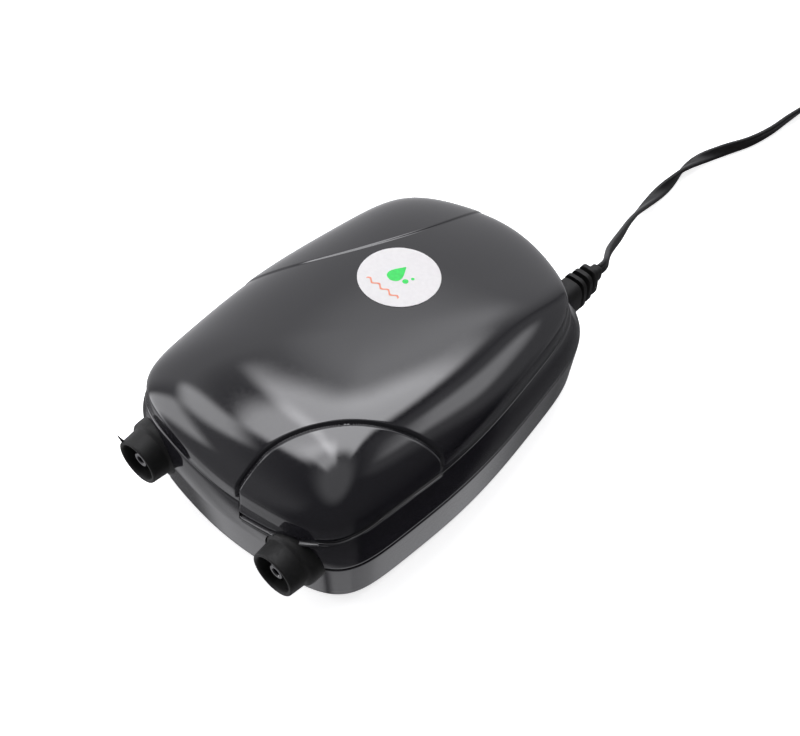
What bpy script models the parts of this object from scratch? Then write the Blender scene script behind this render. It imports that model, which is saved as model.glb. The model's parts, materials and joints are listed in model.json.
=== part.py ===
"""Aquarium air pump with two outlets: an electromagnet shakes two magnet-tipped arms, each of which
works a rubber diaphragm on a valve box. Lengths are in millimetres and go through MM to metres.
+Z is up, the outlets face -Y, the mains lead leaves at +Y, and the feet stand on Z = 0."""

import math

import bmesh
import bpy
from mathutils import Vector

MM = 0.001
GAP = 0.3  # clearance between touching pieces
SIDES = (("left", -1), ("right", 1))

# Casing, in plan: a rounded outline, wider at the outlet end.
SHOULDER_HALF_WIDTH = 41.17
SHOULDER_HALF_LENGTH = 63.96
PARTING_HALF_WIDTH = 44.25
PARTING_FRONT = 65.6
PARTING_BACK = 69.95
BASE_INSET = 1.6
BASE_FRONT_INSET = 2.0
BOTTOM_CORNER = 2.4  # the bottom's rounded edge, across
OUTLINE_SHIFT = -3.65  # centres the pump on Y, its outlets included
OUTLINE_POWERS_FRONT = (3.39, 8.0)
OUTLINE_POWERS_BACK = (2.97, 7.7)
OUTLINE_TAPER = 0.10
OUTLINE_SWELL_COS = ((2, 0.031), (4, 0.033))
OUTLINE_SWELL_SIN = ((1, 0.051), (3, -0.006))
OUTLINE_STEPS = 56

# Casing, in height.
BASE_Z = 2.0
BASE_EDGE = 2.2  # height of the rounded bottom edge
PARTING_Z = 20.1
SHOULDER_Z = 30.8
SHOULDER_STEP = 0.8
DOME_WALL_RISE = 8.0  # the dome is a steep wall with a crown on it
DOME_WALL_POWER = 0.08
DOME_CROWN_RISE = 6.5
DOME_CROWN_POWER = 4
DOME_FRONT_RISE = 2.7
DOME_RINGS = (0.9999, 0.99, 0.96, 0.9, 0.8, 0.65, 0.45, 0.2)
BOSS_TOP_Z = 52.0  # above the dome, which cuts the bosses off
WALL = 2.2

# Label, a disc on the dome.
LABEL_CENTRE = (-6.7, 19.0)
LABEL_RADIUS = 12.65
LABEL_THICKNESS = 0.25
LABEL_RINGS = (0.15, 0.4, 0.7, 1.0)

# Air outlets.
OUTLET_X = 28.1
OUTLET_Z = PARTING_Z
SLEEVE_TIP_Y = -70.4
SLEEVE_RADIUS = 7.5
SLEEVE_REACH = 7.4  # from the tip to the collar
COLLAR_RADIUS = 9.2
COLLAR_DEPTH = 9.0
CUP_RADIUS = 6.1
CUP_DEPTH = 7.2
NIPPLE_RADIUS = 2.7
NIPPLE_BORE = 1.3
NIPPLE_RECESS = 1.5
APRON_DEPTH = 7.5
SLEEVE_NECK = 6.2

# Feet, posts and screws.
FEET = {"front_left": (-30, -52), "front_right": (30, -52), "rear_left": (-23, 55), "rear_right": (23, 55)}
POSTS = {
    "front_left": (-35.5, -40),
    "front_right": (35.5, -40),
    "rear_left": (-31, 42),
    "rear_right": (31, 42),
}
FOOT_RADIUS = 6.0
FOOT_SINK = 0.6
POST_RADIUS = 3.6
SCREW_RADIUS = 1.5
SCREW_HEAD_RADIUS = 2.9
SCREW_HEAD_RECESS = 6.0
SCREW_TOP_Z = 29.0
STANDOFFS = {"front": 45, "rear": -33}  # distance ahead of the middle
STANDOFF_X = 27.0
STANDOFF_RADIUS = 3.0
AIR_SLOTS_Y = (20.0, 24.5, 29.0, 33.5, 38.0)

# Chassis, electromagnet and swing arms. All of them are centred on the outlets' height.
FLOOR_Z = BASE_Z + WALL
CHASSIS_Z = (8.0, 10.0)
CHASSIS_HOLE_RADIUS = 1.6
AXIS_Z = OUTLET_Z
CORE_HALF_STACK = 7.0
CORE_HALF_WIDTH = 23.0
CORE_FRONT_Y = 14.5
CORE_BACK_Y = 52.0
CORE_BAR = 8.0
POLE_HALF_WIDTH = 5.0
CORE_SCREW = (19.0, 48.0)
COIL_HALF = 12.8
FLANGE_HALF = 13.4
ARM_X = 10.0
ARM_HALF_THICKNESS = 1.2
PIVOT_Y = -44.0
ARM_END_Y = 8.5
MAGNET_Y = (8.8, 13.0)
DIAPHRAGM_Y = -16.0

# Valve boxes, given for the +X side.
BOX_X = (19.5, 31.6)
BOX_Y = (-30.0, -2.0)
BOX_Z = (10.3, 29.9)
CHAMBER_RADIUS = 7.5
CHAMBER_DEPTH = 3.5
VALVE_WALL_X = (23.0, 25.5)
POCKETS_Y = {"outlet": (-28.0, -17.2), "inlet": (-14.8, -4.0)}
POCKET_HALF_HEIGHT = 7.0
VALVE_HOLES_Y = {"outlet": -20.5, "inlet": -11.5}
VALVE_HOLE_RADIUS = 1.8
FLAP_THICKNESS = 0.6
LID_SCREWS_Z = {"lower": 11.9, "upper": 28.3}

# Strain relief and mains lead.
LEAD_X = 23.6
LEAD_Z = 20.5
RELIEF_FRONT_Y = 58.5
RELIEF_BACK_Y = 80.4
RELIEF_RIBS_Y = (68.6, 72.0, 75.4)
LEAD_RADIUS = 2.1
LEAD_ROUTE = (
    (23.6, 81.0, 20.5),
    (23.3, 85.0, 20.0),
    (18.6, 93.8, 16.0),
    (14.2, 106.5, 10.6),
    (10.2, 118.5, 6.2),
    (8.2, 128.0, 3.4),
    (7.3, 138.0, 2.4),
    (7.0, 148.0, 2.3),
    (6.6, 156.4, 2.3),
    (7.8, 164.5, 2.3),
    (11.4, 174.5, 2.3),
    (15.6, 184.5, 2.3),
    (17.9, 194.5, 2.3),
    (18.9, 205.5, 2.3),
    (20.4, 215.0, 2.4),
    (24.6, 225.0, 3.0),
    (27.8, 234.0, 4.0),
    (29.0, 242.0, 4.8),
)
TAIL_ROUTE = (
    (96.6, 242.0, 4.8),
    (96.4, 233.0, 3.8),
    (95.2, 223.0, 2.8),
    (92.6, 213.5, 4.0),
    (88.8, 205.0, 4.8),
)
COIL_CENTRE = (62.8, 243.0)
COIL_RADIUS = 25.5
COIL_HALF_BUNDLE = 5.6
COIL_Z = (1.0, 9.0)
TIE_THICKNESS = 0.7
PLUG_TURN = math.atan2(TAIL_ROUTE[-1][1] - TAIL_ROUTE[-2][1], TAIL_ROUTE[-1][0] - TAIL_ROUTE[-2][0])
# Distance along the plug, half width and half thickness.
PLUG_SECTIONS = (
    (0.6, 3.0, 2.6),
    (4.0, 3.6, 3.2),
    (9.0, 9.0, 4.2),
    (12.0, 10.4, 4.5),
    (22.0, 11.2, 4.5),
    (23.5, 10.6, 4.0),
)
PLUG_PIN_SIZE = (1.5, 6.3)
PLUG_PIN_SPACING = 12.7
PLUG_PIN_LENGTH = 15.9

COLOURS = {
    "casing": ((0.075, 0.070, 0.082), 0.22, 0.0),
    "rubber": ((0.012, 0.012, 0.013), 0.55, 0.0),
    "cord": ((0.014, 0.014, 0.015), 0.45, 0.0),
    "label": ((0.88, 0.87, 0.87), 0.50, 0.0),
    "white_plastic": ((0.80, 0.79, 0.75), 0.45, 0.0),
    "steel": ((0.52, 0.52, 0.53), 0.35, 1.0),
    "lamination": ((0.30, 0.30, 0.32), 0.50, 1.0),
    "copper": ((0.70, 0.28, 0.10), 0.35, 1.0),
    "magnet": ((0.10, 0.10, 0.11), 0.40, 0.0),
    "brass": ((0.70, 0.50, 0.20), 0.30, 1.0),
    "felt": ((0.70, 0.70, 0.66), 0.95, 0.0),
}


# Scene, materials and collections


def clear_scene():
    for old in list(bpy.data.objects):
        bpy.data.objects.remove(old)


def new_collection(name):
    collection = bpy.data.collections.new(name)
    bpy.context.scene.collection.children.link(collection)
    return collection


def make_material(name):
    colour, roughness, metallic = COLOURS[name]
    material = bpy.data.materials.new(name)
    material.use_nodes = True
    shader = material.node_tree.nodes["Principled BSDF"]
    shader.inputs["Base Color"].default_value = (*colour, 1.0)
    shader.inputs["Roughness"].default_value = roughness
    shader.inputs["Metallic"].default_value = metallic
    material.diffuse_color = (*colour, 1.0)
    return material


clear_scene()
PUMP = new_collection("aquarium_air_pump")
CUTTERS = new_collection("cutters")
MATERIALS = {name: make_material(name) for name in COLOURS}


def add_empty(name, place, turn_z=0.0):
    """An empty that carries pieces, at a place in millimetres."""
    empty = bpy.data.objects.new(name, None)
    empty.location = Vector(place) * MM
    empty.rotation_euler = (0, 0, turn_z)
    empty.empty_display_size = 5 * MM
    PUMP.objects.link(empty)
    return empty


def add_object(name, data, place=(0, 0, 0), turn=(0, 0, 0), material=None):
    """An object at a place in millimetres: a piece if it has a material, else a cutter."""
    thing = bpy.data.objects.new(name, data)
    thing.location = Vector(place) * MM
    thing.rotation_euler = turn
    if material:
        PUMP.objects.link(thing)
        data.materials.append(MATERIALS[material])
    else:
        CUTTERS.objects.link(thing)
        thing.hide_render = True
        thing.display_type = "WIRE"
    return thing


def add_bmesh(name, bm, place=(0, 0, 0), turn=(0, 0, 0), material=None):
    """An object from a bmesh in millimetres."""
    bmesh.ops.recalc_face_normals(bm, faces=bm.faces[:])
    bmesh.ops.scale(bm, vec=(MM, MM, MM), verts=bm.verts[:])
    mesh = bpy.data.meshes.new(name)
    bm.to_mesh(mesh)
    bm.free()
    mesh.shade_smooth()
    mesh.set_sharp_from_angle(angle=math.radians(35))
    return add_object(name, mesh, place, turn, material)


def carry(empty, *pieces):
    """Parents pieces to an empty that isn't turned, and keeps them where they are."""
    for piece in pieces:
        piece.parent = empty
        piece.location -= empty.location


def boolean(piece, operation, other):
    modifier = piece.modifiers.new(f"{operation.lower()}_{other.name}", "BOOLEAN")
    modifier.operation = operation
    modifier.object = other
    modifier.solver = "EXACT"


def cut(piece, *others):
    for other in others:
        boolean(piece, "DIFFERENCE", other)


def join(piece, *others):
    for other in others:
        boolean(piece, "UNION", other)


# Basic shapes


def turn_to(axis):
    """The rotation that takes +Z to an axis."""
    return Vector(axis).to_track_quat("Z", "Y").to_euler()


def box(name, low, high, material=None):
    bm = bmesh.new()
    bmesh.ops.create_cube(bm, size=1.0)
    bmesh.ops.scale(bm, vec=[b - a for a, b in zip(low, high)], verts=bm.verts[:])
    return add_bmesh(name, bm, [(a + b) / 2 for a, b in zip(low, high)], material=material)


def side_box(name, sign, x_range, y_range, z_range, material=None):
    """A box given for the +X side, mirrored to the other side where sign is -1."""
    xs = sorted(sign * x for x in x_range)
    return box(name, (xs[0], y_range[0], z_range[0]), (xs[1], y_range[1], z_range[1]), material)


def rod(name, start, end, radius, material=None, end_radius=None, steps=24):
    """A cylinder or cone between two points."""
    start, end = Vector(start), Vector(end)
    bm = bmesh.new()
    bmesh.ops.create_cone(
        bm,
        cap_ends=True,
        segments=steps,
        radius1=radius,
        radius2=radius if end_radius is None else end_radius,
        depth=(end - start).length,
    )
    return add_bmesh(name, bm, (start + end) / 2, turn_to(end - start), material)


def turned(name, profile, place, axis, material=None, steps=32, solid=False):
    """A profile of (radius, distance along the axis) with a Screw modifier.

    A solid one runs from the axis to the axis, and any other is a closed ring."""
    if solid:
        profile = [(0.0, profile[0][1])] + profile + [(0.0, profile[-1][1])]
    after = profile[1:] + profile[:1]
    if sum(r * next_z - next_r * z for (r, z), (next_r, next_z) in zip(profile, after)) > 0:
        profile = profile[::-1]  # so that it runs down its outer side
    bm = bmesh.new()
    corners = [bm.verts.new((radius * MM, 0.0, along * MM)) for radius, along in profile]
    ends = corners[1:] if solid else corners[1:] + corners[:1]
    for corner, end in zip(corners, ends):
        bm.edges.new((corner, end))
    mesh = bpy.data.meshes.new(name)
    bm.to_mesh(mesh)
    bm.free()
    piece = add_object(name, mesh, place, turn_to(axis), material)
    screw = piece.modifiers.new("turned", "SCREW")
    screw.axis = "Z"
    screw.steps = steps
    screw.render_steps = steps
    screw.use_merge_vertices = True
    screw.merge_threshold = 1e-6
    return piece


def add_curve(name, dimensions, points, cyclic=False):
    curve = bpy.data.curves.new(name, "CURVE")
    curve.dimensions = dimensions
    spline = curve.splines.new("POLY")
    spline.points.add(len(points) - 1)
    spline.use_cyclic_u = cyclic
    for target, point in zip(spline.points, points):
        target.co = (*(Vector(point) * MM), 1.0)
    return curve


def plate(name, outline, low, high, material):
    """A flat outline in X and Y from one height to another, as a mesh that can be cut."""
    curve = add_curve(name, "2D", [(x, y, 0) for x, y in outline], cyclic=True)
    curve.fill_mode = "BOTH"
    curve.extrude = (high - low) / 2 * MM
    guide = add_object("outline_guide", curve)
    graph = bpy.context.evaluated_depsgraph_get()
    mesh = bpy.data.meshes.new_from_object(guide.evaluated_get(graph))
    bpy.data.objects.remove(guide)
    bm = bmesh.new()
    bm.from_mesh(mesh)
    bmesh.ops.remove_doubles(bm, verts=bm.verts[:], dist=1e-6)
    bm.to_mesh(mesh)
    bm.free()
    mesh.name = name
    return add_object(name, mesh, (0, 0, (low + high) / 2), material=material)


def rounded_rectangle(half_x, half_z, corner, steps=3):
    points = []
    for turn, (side_x, side_z) in enumerate(((1, 1), (-1, 1), (-1, -1), (1, -1))):
        for step in range(steps + 1):
            angle = math.radians(90 * turn + 90 * step / steps)
            x = side_x * (half_x - corner) + corner * math.cos(angle)
            z = side_z * (half_z - corner) + corner * math.sin(angle)
            points.append((x, z))
    return points


def loft(name, rings, place=(0, 0, 0), material=None):
    """A closed skin over rings of equal length, with a flat face at each end. The rings are relative to
    the place."""
    bm = bmesh.new()
    levels = [[bm.verts.new(point) for point in ring] for ring in rings]
    for lower, upper in zip(levels, levels[1:]):
        for i in range(len(lower)):
            j = (i + 1) % len(lower)
            bm.faces.new((lower[i], lower[j], upper[j], upper[i]))
    bm.faces.new(levels[0][::-1])
    bm.faces.new(levels[-1])
    return add_bmesh(name, bm, place, material=material)


def smooth_route(points, spacing):
    """A Catmull-Rom curve through the points, with a point about every spacing."""
    route = [Vector(point) for point in points]
    route = [2 * route[0] - route[1]] + route + [2 * route[-1] - route[-2]]
    result = []
    for before, start, end, after in zip(route, route[1:], route[2:], route[3:]):
        count = max(1, round((end - start).length / spacing))
        for step in range(count):
            t = step / count
            bend = 2 * start + (end - before) * t
            bend += (2 * before - 5 * start + 4 * end - after) * t**2
            bend += (3 * start - before - 3 * end + after) * t**3
            result.append(0.5 * bend)
    return result + [route[-2]]


def tube(name, points, radius, material):
    """A curve object with a round bevel along the points, and its origin at the first."""
    curve = add_curve(name, "3D", [point - points[0] for point in points])
    curve.bevel_depth = radius * MM
    curve.bevel_resolution = 2
    curve.use_fill_caps = True
    return add_object(name, curve, points[0], material=material)


# Casing


def outline_point(angle, half_width, front, back):
    """A point of the casing's outline in plan."""
    side, along = math.cos(angle), math.sin(angle)
    power_x, power_y = OUTLINE_POWERS_FRONT if along < 0 else OUTLINE_POWERS_BACK
    reach = 1.0
    for _ in range(25):
        term_x = (abs(side) * reach) ** power_x
        term_y = (abs(along) * reach) ** power_y
        reach -= (term_x + term_y - 1.0) * reach / (power_x * term_x + power_y * term_y)
    swell = 1.0
    swell += sum(size * math.cos(k * angle) for k, size in OUTLINE_SWELL_COS)
    swell += sum(size * math.sin(k * angle) for k, size in OUTLINE_SWELL_SIN)
    length = front if along < 0 else back
    x = half_width * swell * reach * side * (1.0 - OUTLINE_TAPER * reach * along)
    y = length * swell * reach * along + OUTLINE_SHIFT
    return x, y


def outline_ring(z, half_width, front, back):
    angles = [math.tau * (step + 0.5) / OUTLINE_STEPS for step in range(OUTLINE_STEPS)]
    return [(*outline_point(angle, half_width, front, back), z) for angle in angles]


def dome_height(share, y):
    """Height of the dome at a share of the way from its middle to the shoulder."""
    wall = DOME_WALL_RISE * (1 - share**2) ** DOME_WALL_POWER
    crown = DOME_CROWN_RISE * (1 - share**DOME_CROWN_POWER)
    tilt = -DOME_FRONT_RISE * (y - OUTLINE_SHIFT) / SHOULDER_HALF_LENGTH * (1 - share**2)
    return SHOULDER_Z + wall + crown + tilt


def dome_ring(share, inset):
    """A ring of the dome, moved in and down by inset."""
    width = (SHOULDER_HALF_WIDTH - inset) * share
    length = (SHOULDER_HALF_LENGTH - inset) * share
    ring = outline_ring(0.0, width, length, length)
    return [(x, y, dome_height(share, y) - inset) for x, y, _ in ring]


def casing_solid(name, inset, material=None):
    """The whole casing as one solid, with its skin moved in by inset."""
    side, front, back = (size - inset for size in (PARTING_HALF_WIDTH, PARTING_FRONT, PARTING_BACK))
    base = (side - BASE_INSET, front - BASE_FRONT_INSET, back - BASE_INSET)
    low = BASE_Z + inset
    rings = []
    for share_up, share_in in ((0.0, 1.0), (0.3, 1 / 3), (1.0, 0.0)):
        sizes = [size - BOTTOM_CORNER * share_in for size in base]
        rings.append(outline_ring(low + share_up * BASE_EDGE, *sizes))
    rings.append(outline_ring(PARTING_Z, side, front, back))
    top = (SHOULDER_HALF_WIDTH - inset, SHOULDER_HALF_LENGTH - inset, SHOULDER_HALF_LENGTH - inset)
    step = SHOULDER_STEP if inset == 0 else 0.0
    rings.append(outline_ring(SHOULDER_Z - inset, *(size + step for size in top)))
    rings.append(outline_ring(SHOULDER_Z - inset + 0.1, *top))
    rings += [dome_ring(share, inset) for share in DOME_RINGS]
    return loft(name, rings, material=material)


def cover_space(name, grow):
    """Everything above the parting line, and the apron between the outlets."""
    region = box(name, (-60, -90, PARTING_Z + GAP / 2 - grow), (60, 90, 60))
    half = OUTLET_X + grow
    apron_back = -PARTING_FRONT + APRON_DEPTH + grow
    join(region, box(f"{name}_apron", (-half, -90, -5), (half, apron_back, PARTING_Z + 5)))
    return region


def add_posts(cover, lower):
    """Hollow posts in the lower casing and bosses in the cover, for the four long screws."""
    envelope = casing_solid("casing_envelope", WALL / 2)
    for name, (x, y) in POSTS.items():
        post = rod(f"post_{name}", (x, y, BASE_Z + 1), (x, y, PARTING_Z - GAP), POST_RADIUS, steps=16)
        boss = rod(f"boss_{name}", (x, y, PARTING_Z + GAP), (x, y, BOSS_TOP_Z), POST_RADIUS, steps=16)
        boolean(boss, "INTERSECT", envelope)
        join(lower, post)
        join(cover, boss)


def cut_screw_holes(cover, lower):
    for name, (x, y) in POSTS.items():
        bore = SCREW_RADIUS + GAP
        shank = rod(f"hole_screw_{name}", (x, y, 0), (x, y, SCREW_TOP_Z + 1), bore, steps=16)
        seat = BASE_Z + SCREW_HEAD_RECESS
        head = rod(f"hole_head_{name}", (x, y, 0), (x, y, seat), SCREW_HEAD_RADIUS + GAP, steps=16)
        cut(cover, shank)
        cut(lower, shank, head)


def add_standoffs(lower):
    """Posts that the chassis stands on. The front two take its screws."""
    for side, sign in SIDES:
        for end, ahead in STANDOFFS.items():
            x, y = sign * STANDOFF_X, -ahead
            ends = ((x, y, BASE_Z + 1), (x, y, CHASSIS_Z[0] - GAP))
            join(lower, rod(f"standoff_{end}_{side}", *ends, STANDOFF_RADIUS, steps=16))
            if end == "front":
                ends = ((x, y, FLOOR_Z), (x, y, 9))
                cut(lower, rod(f"hole_chassis_{side}", *ends, CHASSIS_HOLE_RADIUS, steps=12))


def cut_outlets_and_lead(cover, lower):
    holes = []
    for side, sign in SIDES:
        x = sign * OUTLET_X
        ends = ((x, -80, OUTLET_Z), (x, -50, OUTLET_Z))
        holes.append(rod(f"hole_outlet_{side}", *ends, COLLAR_RADIUS + GAP))
    low = (LEAD_X - 4.8, 52, LEAD_Z - 6.8)
    high = (LEAD_X + 4.8, 75, LEAD_Z + 6.8)
    holes.append(box("hole_lead", low, high))
    cut(cover, *holes)
    cut(lower, *holes)


def make_casing():
    inner = casing_solid("casing_inside", WALL)
    cover = casing_solid("upper_cover", 0.0, "casing")
    lower = casing_solid("lower_casing", 0.0, "casing")
    cut(cover, inner)
    cut(lower, inner)
    add_posts(cover, lower)
    add_standoffs(lower)
    boolean(cover, "INTERSECT", cover_space("cover_space", 0.0))
    cut(lower, cover_space("cover_space_grown", GAP))
    cut_screw_holes(cover, lower)
    cut_outlets_and_lead(cover, lower)
    for name, (x, y) in FEET.items():
        ends = ((x, y, 0), (x, y, BASE_Z + FOOT_SINK + GAP))
        cut(lower, rod(f"recess_foot_{name}", *ends, FOOT_RADIUS + GAP))
    for number, y in enumerate(AIR_SLOTS_Y):
        cut(lower, box(f"air_slot_{number}", (-11, y - 1, 0), (11, y + 1, FLOOR_Z + 1)))


def make_sleeves():
    """Rubber cups round the outlets. Each has a collar that fills its hole in the casing."""
    collar_end = SLEEVE_REACH + COLLAR_DEPTH
    profile = [
        (NIPPLE_RADIUS + GAP, CUP_DEPTH),
        (CUP_RADIUS, CUP_DEPTH),
        (CUP_RADIUS, 0.5),
        (CUP_RADIUS + 0.4, 0.0),
        (SLEEVE_RADIUS - 0.3, 0.0),
        (SLEEVE_RADIUS, 0.3),
        (SLEEVE_RADIUS + 0.3, SLEEVE_REACH - 0.6),
        (COLLAR_RADIUS - 0.6, SLEEVE_REACH - 0.3),
        (COLLAR_RADIUS, SLEEVE_REACH + 0.6),
        (COLLAR_RADIUS, collar_end),
        (SLEEVE_NECK, collar_end),
        (SLEEVE_NECK, collar_end + 2),
        (NIPPLE_RADIUS + GAP, collar_end + 2),
    ]
    for side, sign in SIDES:
        place = (sign * OUTLET_X, SLEEVE_TIP_Y, OUTLET_Z)
        turned(f"outlet_sleeve_{side}", profile, place, (0, 1, 0), "rubber", steps=24)


def dome_share(x, y):
    """How far a point lies from the dome's middle, as a share of the way to the shoulder."""
    size = (SHOULDER_HALF_WIDTH, SHOULDER_HALF_LENGTH, SHOULDER_HALF_LENGTH)
    wanted = math.atan2(y - OUTLINE_SHIFT, x)
    angle = wanted
    for _ in range(20):
        edge_x, edge_y = outline_point(angle, *size)
        miss = wanted - math.atan2(edge_y - OUTLINE_SHIFT, edge_x)
        angle += 0.6 * math.remainder(miss, math.tau)
    edge_x, edge_y = outline_point(angle, *size)
    return math.hypot(x, y - OUTLINE_SHIFT) / math.hypot(edge_x, edge_y - OUTLINE_SHIFT)


def make_label():
    """A thin disc that follows the dome."""
    centre_x, centre_y = LABEL_CENTRE
    base = dome_height(dome_share(centre_x, centre_y), centre_y)
    levels = [(reach, GAP) for reach in LABEL_RINGS]
    levels += [(reach, GAP + LABEL_THICKNESS) for reach in reversed(LABEL_RINGS)]
    rings = []
    for reach, above in levels:
        ring = []
        for step in range(24):
            angle = math.tau * step / 24
            x = LABEL_RADIUS * reach * math.cos(angle)
            y = LABEL_RADIUS * reach * math.sin(angle)
            share = dome_share(centre_x + x, centre_y + y)
            ring.append((x, y, dome_height(share, centre_y + y) - base + above))
        rings.append(ring)
    loft("label", rings, (centre_x, centre_y, base), "label")


def make_feet_and_screws():
    for name, (x, y) in FEET.items():
        ends = ((x, y, 0), (x, y, BASE_Z + FOOT_SINK))
        rod(f"foot_{name}", *ends, FOOT_RADIUS - 0.5, "rubber", FOOT_RADIUS)
    seat = BASE_Z + SCREW_HEAD_RECESS - GAP
    profile = [(0.9, seat - 2.0), (SCREW_HEAD_RADIUS, seat - 1.4), (SCREW_HEAD_RADIUS, seat)]
    profile += [(SCREW_RADIUS, seat), (SCREW_RADIUS, SCREW_TOP_Z - 2), (0.5, SCREW_TOP_Z)]
    for name, (x, y) in POSTS.items():
        turned(f"casing_screw_{name}", profile, (x, y, 0), (0, 0, 1), "steel", 12, solid=True)
    filter_z = FLOOR_Z + GAP
    box("air_filter", (-13.5, 16, filter_z), (13.5, 42, filter_z + 1.8), "felt")


# Electromagnet and chassis


def make_chassis():
    rear = CORE_BACK_Y + 1
    half = [(31, -50), (31, 37), (25, 37), (25, rear)]
    outline = half + [(-x, y) for x, y in reversed(half)]
    chassis = plate("chassis_plate", outline, *CHASSIS_Z, "white_plastic")
    cut(chassis, box("hole_coil", (-15, CORE_FRONT_Y, 5), (15, 45, 12)))
    head = CHASSIS_Z[1] + GAP
    profile = [(1.3, FLOOR_Z + 1), (1.3, head), (2.5, head), (2.5, head + 1.0), (1.0, head + 1.5)]
    for side, sign in SIDES:
        rail_top = AXIS_Z - CORE_HALF_STACK - GAP
        join(chassis, side_box(f"core_rail_{side}", sign, (16.5, 22.5), (16, 50), (9, rail_top)))
        x = sign * CORE_SCREW[0]
        ends = ((x, CORE_SCREW[1], 5), (x, CORE_SCREW[1], 20))
        cut(chassis, rod(f"hole_core_{side}", *ends, SCREW_RADIUS + GAP, steps=12))
        x, y = sign * STANDOFF_X, -STANDOFFS["front"]
        cut(chassis, rod(f"hole_plate_{side}", (x, y, 5), (x, y, 12), CHASSIS_HOLE_RADIUS, steps=12))
        turned(f"chassis_screw_{side}", profile, (x, y, 0), (0, 0, 1), "steel", 12, solid=True)


def make_core():
    low, high = AXIS_Z - CORE_HALF_STACK, AXIS_Z + CORE_HALF_STACK
    bar = CORE_BACK_Y - CORE_BAR
    leg = CORE_HALF_WIDTH - CORE_BAR
    half = [(CORE_HALF_WIDTH, CORE_BACK_Y), (CORE_HALF_WIDTH, CORE_FRONT_Y), (leg, CORE_FRONT_Y), (leg, bar)]
    half += [(POLE_HALF_WIDTH, bar), (POLE_HALF_WIDTH, CORE_FRONT_Y)]
    outline = half + [(-x, y) for x, y in reversed(half)]
    core = plate("core_laminations", outline, low, high, "lamination")
    strap_low = (-CORE_HALF_WIDTH, bar + 1, high + GAP)
    strap_high = (CORE_HALF_WIDTH, CORE_BACK_Y, high + 1.5)
    strap = box("core_clamp", strap_low, strap_high, "steel")
    head = high + 1.5 + GAP
    profile = [(SCREW_RADIUS, CHASSIS_Z[0]), (SCREW_RADIUS, head), (2.8, head), (2.8, head + 1.4)]
    profile.append((1.6, head + 2))
    for side, sign in SIDES:
        x, y = sign * CORE_SCREW[0], CORE_SCREW[1]
        hole = rod(f"hole_clamp_{side}", (x, y, 5), (x, y, 40), SCREW_RADIUS + GAP, steps=12)
        cut(core, hole)
        cut(strap, hole)
        turned(f"core_screw_{side}", profile, (x, y, 0), (0, 0, 1), "steel", 12, solid=True)


def coil_block(name, half_x, half_z, front, back, material=None):
    """A box round the electromagnet's middle pole."""
    return box(name, (-half_x, front, AXIS_Z - half_z), (half_x, back, AXIS_Z + half_z), material)


def make_coil():
    front, back = 15.6, CORE_BACK_Y - CORE_BAR - 0.6
    inner_x, inner_z = POLE_HALF_WIDTH + GAP, CORE_HALF_STACK + GAP
    bobbin = coil_block("coil_bobbin", FLANGE_HALF, FLANGE_HALF, front, back, "white_plastic")
    waist = coil_block("bobbin_waist", 20, 20, front + 1.2, back - 1.2)
    cut(waist, coil_block("bobbin_tube", inner_x + 1, inner_z + 1, front, back))
    cut(bobbin, waist, coil_block("bobbin_hole", inner_x, inner_z, front - 1, back + 1))
    winding = coil_block("coil_winding", COIL_HALF, COIL_HALF, front + 1.5, back - 1.5, "copper")
    bevel = winding.modifiers.new("rounded", "BEVEL")
    bevel.width = 3.0 * MM
    bevel.segments = 3
    bevel.limit_method = "NONE"
    cut(winding, coil_block("winding_hole", inner_x + 1 + GAP, inner_z + 1 + GAP, front, back))
    for (side, sign), material in zip(SIDES, ("cord", "white_plastic")):
        route = [(LEAD_X + sign * 1.2, 57.5, LEAD_Z), (21 + sign * 1.5, 55.5, 26)]
        route += [(14 + sign * 2, 55.0, 33.0), (6 + sign * 3, 50, 35.0)]
        route += [(4 + sign * 4, 46.5, 34.0), (3 + sign * 4, back + 1.3, 32.0)]
        tube(f"lead_wire_{side}", smooth_route(route, 3.0), 0.8, material)


# Swing arms, diaphragms and valve boxes, one set a side


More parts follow.
